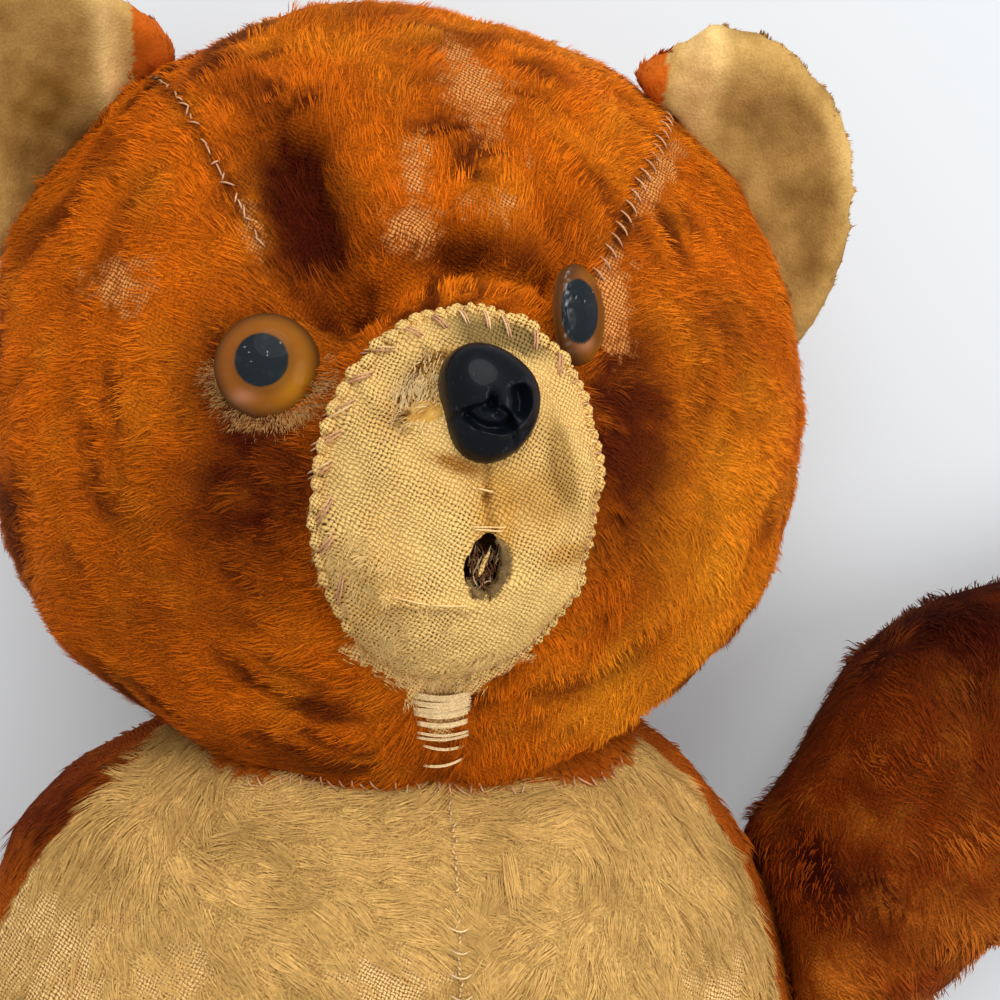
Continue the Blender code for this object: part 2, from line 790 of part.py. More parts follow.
def add_limbs(body_room, head_room):
    rooms = [body_room, head_room]
    for side, line in ARM_LINES:
        add_limb(f"arm_{side}", line, ARM_GIRTH, f"paw_pad_{side}", palm, rooms, ARM_SQUARENESS)
    for side, way in (("right", -1), ("left", 1)):
        line = [(way * x, y, z) for x, y, z in LEG_LINE]
        add_limb(f"leg_{side}", line, LEG_GIRTH, f"sole_pad_{side}", sole, rooms, LEG_SQUARENESS)


body_room = add_body()
head_room = add_head(body_room)
add_limbs(body_room, head_room)
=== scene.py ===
import math

import bmesh
import bpy
import numpy as np
from mathutils import Matrix, Vector, noise
from mathutils.bvhtree import BVHTree
from mathutils.kdtree import KDTree


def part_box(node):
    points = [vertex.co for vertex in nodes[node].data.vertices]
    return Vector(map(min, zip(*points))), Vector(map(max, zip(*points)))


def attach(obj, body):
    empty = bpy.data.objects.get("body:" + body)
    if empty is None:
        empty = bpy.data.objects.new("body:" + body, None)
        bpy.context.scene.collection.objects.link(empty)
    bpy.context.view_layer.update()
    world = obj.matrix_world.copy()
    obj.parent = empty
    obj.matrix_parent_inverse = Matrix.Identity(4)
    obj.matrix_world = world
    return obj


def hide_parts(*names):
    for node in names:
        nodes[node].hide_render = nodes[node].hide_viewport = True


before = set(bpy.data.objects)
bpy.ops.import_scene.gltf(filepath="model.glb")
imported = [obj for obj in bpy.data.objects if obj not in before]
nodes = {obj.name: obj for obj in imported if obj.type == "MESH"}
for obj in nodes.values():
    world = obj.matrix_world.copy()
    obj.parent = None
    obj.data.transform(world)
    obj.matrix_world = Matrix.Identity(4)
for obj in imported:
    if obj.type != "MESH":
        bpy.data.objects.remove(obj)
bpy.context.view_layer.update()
print("frame loaded")

# The head's own axes: x to the bear's left, y to the crown, z out through the face
headAxes = (
    Matrix.Translation((-0.014, 0.2135, 0.073))
    @ Matrix.Rotation(math.radians(-3), 4, "Z")
    @ Matrix.Rotation(math.radians(10), 4, "Y")
)
headInverse = headAxes.inverted()
headHalf, bodyHalf = np.array([0.097, 0.0955, 0.075]), np.array([0.112, 0.142, 0.063])


def newObject(name, data):
    made = bpy.data.objects.new(name, data)
    bpy.context.scene.collection.objects.link(made)
    return made


def newPiece(mesh, name, slot, material=None, replaced=()):
    # replaced are the nodes that it stands for
    if material:
        mesh.materials.append(material)
    piece = newObject(name, mesh)
    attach(piece, "root")
    if replaced:
        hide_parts(*replaced)
    return piece


# Soft forms

puffing = {"pressure": 4.0, "frames": 20, "most": 0.004, "smoothing": 8}


def largestIsland(bm):
    seen = set()
    best = []
    for start in bm.verts:
        if start in seen:
            continue
        island = [start]
        seen.add(start)
        for vert in island:
            for edge in vert.link_edges:
                other = edge.other_vert(vert)
                if other not in seen:
                    seen.add(other)
                    island.append(other)
        if len(island) > len(best):
            best = island
    keep = set(best)
    bmesh.ops.delete(bm, geom=[v for v in bm.verts if v not in keep], context="VERTS")


def remeshed(nodeNames, voxel, smoothing):
    # the unit's panels and stuffing become one closed form
    bm = bmesh.new()
    for name in nodeNames:
        bm.from_mesh(nodes[name].data)
    rough = bpy.data.meshes.new("rough")
    bm.to_mesh(rough)
    bm.free()
    work = newObject("work", rough)
    weld = work.modifiers.new("remesh", "REMESH")
    weld.mode = "VOXEL"
    weld.voxel_size = voxel
    mesh = takeMesh(work)
    bm = bmesh.new()
    bm.from_mesh(mesh)
    largestIsland(bm)
    allAxes = {"use_axis_x": True, "use_axis_y": True, "use_axis_z": True}
    for step in range(smoothing):
        bmesh.ops.smooth_vert(bm, verts=bm.verts, factor=0.5, **allAxes)
    bm.to_mesh(mesh)
    bm.free()
    return mesh


def takeMesh(work):
    # the object's mesh with its modifiers applied; the object goes
    graph = bpy.context.evaluated_depsgraph_get()
    mesh = bpy.data.meshes.new_from_object(work.evaluated_get(graph))
    bpy.data.objects.remove(work)
    return mesh


def puffed(mesh):
    # the form blown up a little as cloth, moved by no more than most
    scene = bpy.context.scene
    before = readPoints(mesh)
    work = newObject("work", mesh)
    cloth = work.modifiers.new("puff", "CLOTH")
    cloth.settings.quality = 5
    cloth.settings.use_pressure = True
    cloth.settings.uniform_pressure_force = puffing["pressure"]
    cloth.settings.effector_weights.gravity = 0.0
    cloth.point_cache.frame_start = 1
    cloth.point_cache.frame_end = puffing["frames"]
    for step in range(1, puffing["frames"] + 1):
        scene.frame_set(step)
    after = takeMesh(work)
    moved = readPoints(after) - before
    length = np.linalg.norm(moved, axis=1, keepdims=True)
    writePoints(after, before + moved * np.minimum(1.0, puffing["most"] / np.maximum(length, 1e-9)))
    scene.frame_set(1)
    return after


def subdivided(mesh):
    work = newObject("work", mesh)
    finer = work.modifiers.new("finer", "SUBSURF")
    finer.levels = finer.render_levels = 1
    return takeMesh(work)


def stuffed(look):
    # a unit's form, with its points, its normals and how far its lumps stand out
    form = subdivided(puffed(remeshed(look["nodes"], look["voxel"], puffing["smoothing"])))
    points, normals = readPoints(form), readNormals(form)
    lumps = waves(points, look["lumpSize"], 1) + 0.5 * waves(points, look["lumpSize"] / 2.5, 2)
    return form, points, normals, look["lump"] * lumps


def readRows(rows, key, kind=np.float64):
    values = np.empty(len(rows) * 3, dtype=kind)
    rows.foreach_get(key, values)
    return values.reshape(-1, 3)


def readPoints(mesh):
    return readRows(mesh.vertices, "co")


def readNormals(mesh):
    return readRows(mesh.vertex_normals, "vector", np.float32).astype(np.float64)


def writePoints(mesh, points):
    mesh.vertices.foreach_set("co", np.ascontiguousarray(points, dtype=np.float32).ravel())
    smoothMesh(mesh)


def smoothMesh(mesh):
    mesh.polygons.foreach_set("use_smooth", np.ones(len(mesh.polygons), dtype=bool))
    mesh.update()


def listedMesh(name, verts, faces):
    mesh = bpy.data.meshes.new(name)
    mesh.from_pydata(verts, [], faces)
    smoothMesh(mesh)
    return mesh


def inAxes(points, axes):
    # world points in an object's own axes
    turn = np.array(axes.inverted())
    return points @ turn[:3, :3].T + turn[:3, 3]


def turnedBy(vectors, axes):
    return vectors @ np.array(axes)[:3, :3].T


def waves(points, size, seed):
    # smooth random numbers from about -1 to 1, one for each point
    shift = Vector((seed * 7.13, seed * 3.71, seed * 1.93))
    return np.array([noise.noise(Vector(point) / size + shift) for point in points])


def unit(vectors):
    return vectors / np.maximum(np.linalg.norm(vectors, axis=1, keepdims=True), 1e-9)


def leaned(first, second, turn):
    # the first direction turned towards the second
    return first * np.cos(turn) + second * np.sin(turn)


def limited(values):
    return np.clip(values, 0.0, 1.0)


def bell(values, middle, wide):
    # 1 at the middle, falling away on both sides
    return np.exp(-(((values - middle) / wide) ** 2))


def blended(base, tint, share):
    # colours between base and tint, with a share for each row
    share = share[:, None]
    return base * (1 - share) + np.array(tint) * share


def addTint(mesh, name, colours, amounts=1.0):
    layer = mesh.color_attributes.new(name, "FLOAT_COLOR", "POINT")
    full = np.ones((len(colours), 4), dtype=np.float32)
    full[:, :3] = colours
    full[:, 3] = amounts
    layer.data.foreach_set("color", full.ravel())


# Materials: each maker returns a node material built from the colours in its settings

finishes = {
    "rough": "Roughness", "specular": "Specular IOR Level",
    "coat": "Coat Weight", "coatRough": "Coat Roughness",
    "sheen": "Sheen Weight", "sheenRough": "Sheen Roughness", "sheenTint": "Sheen Tint",
}


def newMaterial(name, **finish):
    # a material with these plain values, its nodes, and the place of each spot on the object
    material = bpy.data.materials.new(name)
    material.use_nodes = True
    tree = material.node_tree
    for key, value in finish.items():
        tree.nodes["Principled BSDF"].inputs[finishes[key]].default_value = value
    return material, tree, addNode(tree, "ShaderNodeTexCoord").outputs["Object"]


def finished(material, colour, height=None, strength=0.5, distance=0.0004, rough=None):
    # the colour, the bumps and an uneven roughness go into the shader
    tree = material.node_tree
    shader = tree.nodes["Principled BSDF"]
    tree.links.new(colour, shader.inputs["Base Color"])
    if rough is not None:
        tree.links.new(rough, shader.inputs["Roughness"])
    if height is not None:
        bump = addNode(tree, "ShaderNodeBump", strength=strength, distance=distance)
        tree.links.new(height, bump.inputs["Height"])
        tree.links.new(bump.outputs["Normal"], shader.inputs["Normal"])
    return material


def addNode(tree, kind, *sources, **values):
    # sources feed the node's first inputs
    node = tree.nodes.new(kind)
    for key, value in values.items():
        if hasattr(node, key):
            setattr(node, key, value)
        else:
            node.inputs[key.replace("_", " ").title()].default_value = value
    for socket, source in zip(node.inputs, sources):
        tree.links.new(source, socket)
    return node


def feed(tree, socket, value):
    # the value may be another socket, a colour or a number
    if hasattr(value, "is_linked"):
        tree.links.new(value, socket)
    elif value is not None:
        socket.default_value = (*value, 1.0) if isinstance(value, tuple) else value


def mixColour(tree, factor, first, second, blend="MIX"):
    node = addNode(tree, "ShaderNodeMix", data_type="RGBA", blend_type=blend)
    for index, value in ((0, factor), (6, first), (7, second)):
        feed(tree, node.inputs[index], value)
    return node.outputs[2]


def maths(tree, operation, first, second=None):
    node = addNode(tree, "ShaderNodeMath", operation=operation)
    for socket, value in zip(node.inputs, (first, second)):
        feed(tree, socket, value)
    return node.outputs[0]


def times(tree, first, second):
    return maths(tree, "MULTIPLY", first, second)


def plus(tree, first, second):
    return maths(tree, "ADD", first, second)


def multiplied(tree, first, second):
    return mixColour(tree, 1.0, first, second, "MULTIPLY")


def ramp(tree, source, low, high):
    # 0 below low and 1 above high
    return addNode(tree, "ShaderNodeMapRange", source, from_min=low, from_max=high).outputs["Result"]


def noiseAt(tree, place, scale, detail=3.0, roughness=0.6):
    node = addNode(tree, "ShaderNodeTexNoise", place, scale=scale, detail=detail, roughness=roughness)
    return node.outputs["Fac"]


def layerAt(tree, name, part="Color"):
    # a colour layer of the mesh
    return addNode(tree, "ShaderNodeVertexColor", layer_name=name).outputs[part]


def grained(tree, colour, source, low, high, dark, light):
    # the colour times dark where the source is low and light where it is high
    return multiplied(tree, colour, mixColour(tree, ramp(tree, source, low, high), dark, light))


# Pile: every strand is a narrow tapered strip, gathered with its neighbours into locks


def scattered(mesh, count, weights, seed, axes=None):
    # points spread over a mesh, as dense as the weight of its triangles; the last are in the given axes
    rng = np.random.default_rng(seed)
    mesh.calc_loop_triangles()
    corners = readRows(mesh.loop_triangles, "vertices", np.int32)
    points, normals = readPoints(mesh), readNormals(mesh)
    a, b, c = (points[corners[:, index]] for index in range(3))
    areas = np.linalg.norm(np.cross(b - a, c - a), axis=1) / 2 * weights[corners].mean(axis=1)
    running = np.cumsum(areas)
    chosen = np.searchsorted(running, rng.random(count) * running[-1])
    u, v = rng.random(count), rng.random(count)
    over = u + v > 1
    u[over], v[over] = 1 - u[over], 1 - v[over]
    shares = np.stack([1 - u - v, u, v], axis=1)[:, :, None]
    place = (points[corners[chosen]] * shares).sum(axis=1)
    facing = (normals[corners[chosen]] * shares).sum(axis=1)
    return place, unit(facing), inAxes(place, axes) if axes else place


def combed(spots, guides, reach=0.02):
    # the way the pile lies at each spot, from arrows (x, y, degrees) drawn on the piece
    way = np.zeros((len(spots), 2))
    for x, y, angle in guides:
        near = 1.0 / (((spots[:, 0] - x) ** 2 + (spots[:, 1] - y) ** 2) + reach**2) ** 1.5
        way += near[:, None] * np.array([math.cos(math.radians(angle)), math.sin(math.radians(angle))])
    return way


def swirled(way, spots, degrees, size, seed):
    # the lie of the pile turned a little one way and the other
    turn = np.radians(degrees) * waves(spots, size, seed)
    x, y = unit(way).T
    rows = (x * np.cos(turn) - y * np.sin(turn), x * np.sin(turn) + y * np.cos(turn), np.zeros(len(spots)))
    return np.column_stack(rows)


def falloff(spots, x, y, across, along, degrees=0.0):
    # 1 in the middle of a soft oval and 0 well outside it
    turn = math.radians(degrees)
    dx, dy = spots[:, 0] - x, spots[:, 1] - y
    u = dx * math.cos(turn) + dy * math.sin(turn)
    v = dy * math.cos(turn) - dx * math.sin(turn)
    return np.exp(-((u / across) ** 2) - (v / along) ** 2)


def nearestOf(points, centres):
    tree = KDTree(len(centres))
    for index, centre in enumerate(centres):
        tree.insert(centre, index)
    tree.balance()
    return np.array([tree.find(point)[1] for point in points])


def uneven(tint, amount, spots, size, seed):
    # one colour, a little lighter and darker from spot to spot
    return limited(np.array([tint]) * (1 + amount * waves(spots, size, seed))[:, None])


def growPile(name, kind, roots, facing, way, look, tints, seed):
    # a piece of pile: its slot, which is not used, and its material, its roots and their normals, the lie and
    # the colour of each
    rng = np.random.default_rng(seed)
    count = len(roots)
    steps = look["steps"]
    lockCount = max(1, count // look["perLock"])
    heads = rng.choice(count, lockCount, replace=False)
    lock = nearestOf(roots, roots[heads])

    def spread(total):
        return rng.normal(size=(total, 1))

    def laid(way, facing):
        return unit(way - facing * (way * facing).sum(axis=1, keepdims=True))

    def line(start, along, across, up, reach, rise, bend, share):
        lift = rise * (1 - (1 - share) ** 2.2)
        return start + along * reach * share + across * reach * bend * share**2 + up * lift

    lockWay = laid(way, facing)[heads]
    side = np.cross(facing[heads], lockWay)
    lockWay = leaned(lockWay, side, np.radians(look["lockStray"]) * spread(lockCount))
    lockCurl = spread(lockCount) * look["curl"]
    lockLong = look["length"] * (1 + look["uneven"] * spread(lockCount))
    lockHigh = look["height"] * np.exp(0.35 * spread(lockCount))
    stray = np.radians(look["stray"]) * spread(count)
    ownWay = laid(lockWay[lock], facing)
    ownWay = leaned(ownWay, np.cross(facing, ownWay), stray)
    ownSide = np.cross(facing, ownWay)
    curl = lockCurl[lock] + spread(count) * look["curl"] * 0.3
    long = lockLong[lock] * (1 + 0.15 * spread(count))
    high = lockHigh[lock] * (1 + 0.25 * spread(count))
    spine = []
    for step in range(steps + 1):
        share = step / steps
        own = line(roots - facing * 0.0006, ownWay, ownSide, facing, long, high, curl, share)
        shared = line(roots[heads], lockWay, side, facing[heads], lockLong, lockHigh, lockCurl, share)[lock]
        pull = look["gather"] * share**1.3
        spine.append(own * (1 - pull) + shared * pull)

    roll = np.radians(look["roll"]) * spread(count)
    rim, front = leaned(ownSide, facing, roll), unit(leaned(facing, -ownSide, roll))
    half = look["width"] / 2 * (1 + 0.25 * spread(count))
    perStrand = 2 * steps + 1
    verts = np.empty((count, perStrand, 3))
    bends = np.empty_like(verts)
    for step in range(steps):
        size = half * (1 - 0.75 * (step / steps) ** 1.5)
        for index, edge in ((2 * step, -rim), (2 * step + 1, rim)):
            verts[:, index] = spine[step] + edge * size
            bends[:, index] = unit(front + edge * look["roundness"])
    verts[:, -1] = spine[steps]
    bends[:, -1] = front

    corner = [2 * step + index for step in range(steps - 1) for index in (1, 0, 2, 3)]
    corner += [2 * steps - 1, 2 * steps - 2, 2 * steps]
    strand = np.arange(count)[:, None]
    loops = (strand * perStrand + np.array(corner)).astype(np.int32)
    starts = (strand * len(corner) + 4 * np.arange(steps)).astype(np.int32)
    mesh = bpy.data.meshes.new(name)
    mesh.vertices.add(count * perStrand)
    mesh.loops.add(loops.size)
    mesh.loops.foreach_set("vertex_index", loops.ravel())
    mesh.polygons.add(starts.size)
    mesh.polygons.foreach_set("loop_start", starts.ravel())
    mesh.update(calc_edges=True)
    writePoints(mesh, verts)

    # colour: painted shade makes it darker at the root, paler and a little different at each tip
    shade = (1 + look["shade"] * spread(lockCount))[lock] * (1 + 0.06 * spread(count))
    colours = np.empty_like(verts)
    for index in range(perStrand):
        light = look["rootShade"] + (1 - look["rootShade"]) * (index // 2 / steps) ** 0.7
        colours[:, index] = limited(tints * shade * light)
    addTint(mesh, "pile", colours.reshape(-1, 3))

    # each strand has its own small cell of the map
    cells = math.ceil(math.sqrt(count))
    sides = (0.2, 0.8)
    places = np.array([(sides[index % 2], 0.1 + 0.8 * (index // 2) / steps) for index in range(perStrand)])
    places[-1] = (0.5, 0.9)
    spots = places[np.array(corner)] + np.concatenate([strand % cells, strand // cells], axis=1)[:, None, :]
    bake = mesh.uv_layers.new(name="OFBake")
    bake.data.foreach_set("uv", (spots / cells).astype(np.float32).ravel())
    mesh.normals_split_custom_set_from_vertices(bends.reshape(-1, 3))
    newPiece(mesh, name, *kind)


# Woven backing, bare where the pile has worn away

weave = {"pitch": 0.00082, "turn": 24, "wander": 0.0013, "slub": 8}


def weaveNodes(tree, place, axes):
    # height and open gaps of a slubby plain weave across x and y of these axes
    turn = axes.inverted().to_euler()
    turned = (turn.x, turn.y, turn.z + math.radians(weave["turn"]))
    lay = addNode(tree, "ShaderNodeMapping", place, rotation=turned).outputs["Vector"]
    shift = addNode(tree, "ShaderNodeTexNoise", place, scale=150.0, detail=2.0).outputs["Color"]
    shift = addNode(tree, "ShaderNodeVectorMath", shift, operation="SCALE", scale=weave["wander"] * 2)
    total = addNode(tree, "ShaderNodeVectorMath", lay, shift.outputs["Vector"], operation="ADD")
    total = total.outputs["Vector"]
    split = addNode(tree, "ShaderNodeSeparateXYZ", total)
    run, thick = weave["pitch"] * weave["slub"], weave["pitch"] * 1.6
    threadWaves, heights = [], []
    for axis, across, along in (("X", thick, run), ("Y", run, thick)):
        wave = maths(tree, "SINE", times(tree, split.outputs[axis], math.pi / weave["pitch"]))
        stretched = addNode(tree, "ShaderNodeMapping", total, scale=(1 / across, 1 / along, 60.0))
        slub = noiseAt(tree, stretched.outputs["Vector"], 1.0, 2.0)
        threadWaves.append(wave)
        heights.append(times(tree, maths(tree, "ABSOLUTE", wave), plus(tree, times(tree, slub, 1.5), 0.22)))
    warp, weft = heights
    upper = ramp(tree, times(tree, *threadWaves), -0.2, 0.2)
    height = plus(tree, weft, times(tree, maths(tree, "SUBTRACT", warp, weft), upper))
    return height, ramp(tree, maths(tree, "MAXIMUM", warp, weft), 0.66, 0.38)


def weaveMaterial(name, light, dark, hole, axes, layer=None):
    # layer is a colour layer that tints the cloth
    material, tree, place = newMaterial(name, rough=0.95, specular=0.05)
    height, gaps = weaveNodes(tree, place, axes)
    # painted light and shade: paler on the threads' tops, darker where they dip
    tint = mixColour(tree, ramp(tree, height, 0.0, 0.75), dark, light)
    gaps = times(tree, gaps, ramp(tree, noiseAt(tree, place, 55.0), 0.38, 0.56))
    tint = mixColour(tree, gaps, tint, hole)
    tint = mixColour(tree, ramp(tree, noiseAt(tree, place, 35.0), 0.5, 1.2), tint, dark, "MULTIPLY")
    if layer:
        tint = multiplied(tree, tint, layerAt(tree, layer))
    return finished(material, tint, height, 0.8, 0.0006)


def plushClothMaterial():
    # short worn pile over its backing: "pile" colours it, "bare" colours the weave where it shows
    material, tree, place = newMaterial("plushCloth", rough=0.95, specular=0.05)
    grain = noiseAt(tree, place, 1500.0)
    nap = grained(tree, layerAt(tree, "pile"), grain, 0.3, 0.68, (0.5, 0.44, 0.4), (1.0, 1.0, 1.0))
    height, gaps = weaveNodes(tree, place, headAxes)
    # painted light and shade: paler on the threads' tops, darker where they dip
    thread = mixColour(tree, ramp(tree, height, 0.25, 0.95), (0.5, 0.36, 0.26), (1.15, 1.15, 1.15))
    thread = multiplied(tree, layerAt(tree, "bare"), mixColour(tree, gaps, thread, (0.3, 0.16, 0.08)))
    tufts = plus(tree, noiseAt(tree, place, 330.0), noiseAt(tree, place, 110.0))
    ragged = plus(tree, layerAt(tree, "bare", "Alpha"), times(tree, tufts, 0.9))
    tint = mixColour(tree, ramp(tree, ragged, 1.2, 1.5), nap, thread)
    return finished(material, tint, plus(tree, grain, height), 0.8, 0.0005)


def pileMaterial(name, roughness, sheen):
    material, tree, place = newMaterial(
        name, rough=roughness, specular=0.04, sheen=0.06, sheenRough=0.5, sheenTint=(*sheen, 1.0)
    )
    fine = noiseAt(tree, place, 900.0, 2.0)
    tint = grained(tree, layerAt(tree, "pile"), fine, 0.3, 0.7, (0.8, 0.8, 0.8), (1.15, 1.15, 1.15))
    return finished(material, tint)


def feltMaterial(name, colour):
    material, tree, place = newMaterial(name, rough=0.95)
    worn = mixColour(tree, ramp(tree, noiseAt(tree, place, 45.0), 0.35, 0.7), colour, (0.34, 0.21, 0.1))
    fibres = noiseAt(tree, place, 1200.0, 4.0)
    tint = grained(tree, worn, fibres, 0.3, 0.7, (0.82, 0.8, 0.76), (1.08, 1.06, 1.0))
    return finished(material, tint, fibres)


def threadMaterial():
    material, tree, place = newMaterial("cottonThread", rough=0.8, specular=0.08)
    ply = noiseAt(tree, place, 2500.0, 2.0)
    tint = grained(tree, layerAt(tree, "tint"), ply, 0.35, 0.65, (0.72, 0.68, 0.62), (1.1, 1.1, 1.1))
    return finished(material, tint, ply, 0.5, 0.0002)


plushCloth = plushClothMaterial()
rustPile = pileMaterial("rustPile", 0.7, (1.0, 0.4, 0.08))
creamPile = pileMaterial("creamPile", 0.7, (1.0, 0.75, 0.4))
tanFelt = feltMaterial("tanFelt", (0.62, 0.42, 0.22))
cotton = threadMaterial()
rust, darkRust = ("rust_plush", rustPile), ("dark_rust_plush", rustPile)
cream, feltFuzz = ("cream_plush", creamPile), ("tan_felt", creamPile)


# Head

head = {
    "nodes": ("head_gusset", "head_side_right", "head_side_left", "head_stuffing"),
    "voxel": 0.0045,
    "lump": 0.0022,
    "lumpSize": 0.028,
    "colour": (0.8, 0.163, 0.003),
    "dark": (0.085, 0.009, 0.001),
    "pale": (1.0, 0.32, 0.012),
    "bareTint": (0.64, 0.25, 0.062),
    "chinTint": (0.95, 0.6, 0.21),
    # painted shade: nearly black cloth under the muzzle, seen where it shows at the muzzle's edge
    "inside": (0.04, 0.014, 0.005),  # under the muzzle
    # the gaps between bands of pile get painted shade
    "ripple": (0.004, 0.011, 0.9),  # along the lie, across it, and how much darker
    "swell": (  # degrees round the head, half width in degrees, and how far it bulges there
        (0, 40, 0.0052), (-55, 30, 0.0044), (-100, 30, 0.002), (-140, 34, 0.0046), (180, 34, 0.004),
        (135, 34, 0.0036), (85, 34, 0.0018), (40, 30, 0.0024),
    ),
    "stitched": {"left": 0.0031, "right": 0.0018},  # how far apart the seams' stitches are
    "seams": {
        "right": (
            (-0.0651, 0.071), (-0.0558, 0.0575), (-0.0485, 0.0431), (-0.0429, 0.034), (-0.0381, 0.0254),
        ),
        "left": ((0.0577, 0.0707), (0.0434, 0.0465), (0.0374, 0.0338), (0.0305, 0.0209)),
    },
    "folds": (  # start, end, reach and depth
        ((-0.034, 0.046), (-0.0235, 0.016), 0.0075, 0.011),
        ((-0.021, 0.012), (0.001, 0.0255), 0.004, 0.006),
        ((0.001, 0.0255), (0.024, 0.021), 0.004, 0.006),
        ((0.022, 0.043), (0.0255, 0.024), 0.0045, 0.005),
    ),
    "comb": (  # x, y and the way the pile lies, in degrees
        (-0.072, 0.025, 180), (-0.079, -0.008, 186), (-0.058, -0.028, 198), (-0.049, -0.011, 192),
        (-0.084, -0.044, 205), (-0.057, -0.059, 205), (-0.036, -0.059, 195), (-0.018, -0.067, 186),
        (-0.032, -0.018, 205), (-0.05, 0.013, 182), (-0.058, 0.05, 168), (-0.043, 0.047, 100),
        (-0.01, 0.071, 60), (0.018, 0.075, 80), (-0.031, 0.036, 95), (-0.015, 0.03, 125),
        (-0.005, 0.045, 110), (0.019, 0.039, 95), (0.037, 0.071, 30), (0.045, 0.045, -5),
        (0.064, 0.023, -8), (0.078, -0.003, -8), (0.068, 0.049, -22), (0.043, -0.014, -30),
        (0.063, -0.035, -50), (0.048, -0.045, -60), (0.033, -0.066, -75), (0.014, -0.068, -80),
        (0.0, 0.02, 70), (0.02, 0.018, 40), (-0.025, 0.012, 150),
    ),
    # painted shade in the brow folds, round the muzzle, on the cheeks and under the chin
    "darkSpots": (  # x, y, half sizes, degrees and amount
        (-0.029, 0.034, 0.0085, 0.022, 16, 1.5), (-0.036, -0.021, 0.017, 0.031, -8, 0.9),
        (-0.041, -0.005, 0.0125, 0.0145, 0, 0.95), (0.041, -0.01, 0.014, 0.03, 8, 1.15),
        (0.0, 0.026, 0.028, 0.0045, 0, 0.8), (-0.02, 0.083, 0.016, 0.006, 10, 0.5),
        (0.024, 0.032, 0.004, 0.01, 15, 0.6), (-0.02, -0.085, 0.04, 0.008, 0, 0.5),
        (0.066, 0.014, 0.018, 0.012, 0, 0.5), (0.0, 0.055, 0.016, 0.012, 0, 0.25),
        (-0.022, 0.016, 0.006, 0.006, 0, 0.6), (-0.055, -0.045, 0.02, 0.02, 0, 0.35),
    ),
    # painted light on the bear's left cheek, its forehead and the crown
    "paintedLightSpots": (
        (0.066, -0.032, 0.018, 0.034, 0, 1.0), (0.053, -0.066, 0.018, 0.014, 0, 1.0),
        (0.05, 0.062, 0.016, 0.016, -35, 0.35), (0.0, 0.082, 0.06, 0.012, 0, 0.4),
    ),
    "bald": (  # x, y, half sizes, degrees and amount
        (0.006, 0.064, 0.008, 0.018, 15, 0.7), (-0.007, 0.044, 0.005, 0.016, 0, 0.52),
        (-0.008, 0.03, 0.007, 0.006, 0, 0.7), (-0.066, 0.017, 0.012, 0.01, 0, 0.52),
        (0.036, 0.018, 0.006, 0.014, 0, 0.75), (-0.04, 0.029, 0.004, 0.01, 20, 0.6),
        (0.008, 0.036, 0.01, 0.005, 0, 0.5), (0.049, 0.05, 0.004, 0.018, -35, 0.7),
    ),
}
muzzleMiddle = (0.004, -0.021)
muzzleHalf = (0.0325, 0.0425)
eyeSpots = ((-0.0365, 0.0027), (0.0265, 0.015))


def narrowed(rise):
    # the muzzle's outline is an egg with its narrow end to the forehead
    return 1 - 0.24 * rise**1.5


def muzzleShare(spots):
    # 1 on the muzzle's outline
    x, y = spots[:, 0] - muzzleMiddle[0], (spots[:, 1] - muzzleMiddle[1]) / muzzleHalf[1]
    rise = limited(y / np.maximum(np.hypot(x / muzzleHalf[0], y), 1e-6))
    turn = np.degrees(np.arctan2(y, x / muzzleHalf[0]))
    blunt = 1 + 0.08 * bell(turn, 95, 13)
    return blunt * np.hypot(x / (muzzleHalf[0] * narrowed(rise)), y)


def sumOf(spots, ovals):
    total = np.zeros(len(spots))
    for x, y, across, along, degrees, amount in ovals:
        total = np.maximum(total, amount * falloff(spots, x, y, across, along, degrees))
    return total


def pressed(spots, folds):
    # how deep the worn folds are at each spot
    spots, depth = spots[:, :2], np.zeros(len(spots))
    for start, end, reach, deep in folds:
        start, end = np.array(start), np.array(end)
        share = limited(((spots - start) @ (end - start)) / ((end - start) @ (end - start)))
        away = np.linalg.norm(spots - start - share[:, None] * (end - start), axis=1)
        depth += deep * np.exp(-((away / reach) ** 2))
    return depth


def seamShare(spots):
    # 1 on the two seams beside the gusset
    lines = []
    for seam in head["seams"].values():
        lines += [(start, end, 0.0013, 1.0) for start, end in zip(seam, seam[1:])]
    return limited(pressed(spots, lines)) * (spots[:, 2] > 0.0)


def swelling(spots, swells):
    # how far a stuffed form bulges at each spot, from a few directions round its middle
    angle = np.degrees(np.arctan2(spots[:, 1], spots[:, 0]))
    total, shares = np.zeros(len(spots)), np.zeros(len(spots))
    for degrees, wide, far in swells:
        near = np.exp(-((((angle - degrees + 180) % 360 - 180) / wide) ** 2))
        total += near * far
        shares += near
    return total / np.maximum(shares, 0.2)


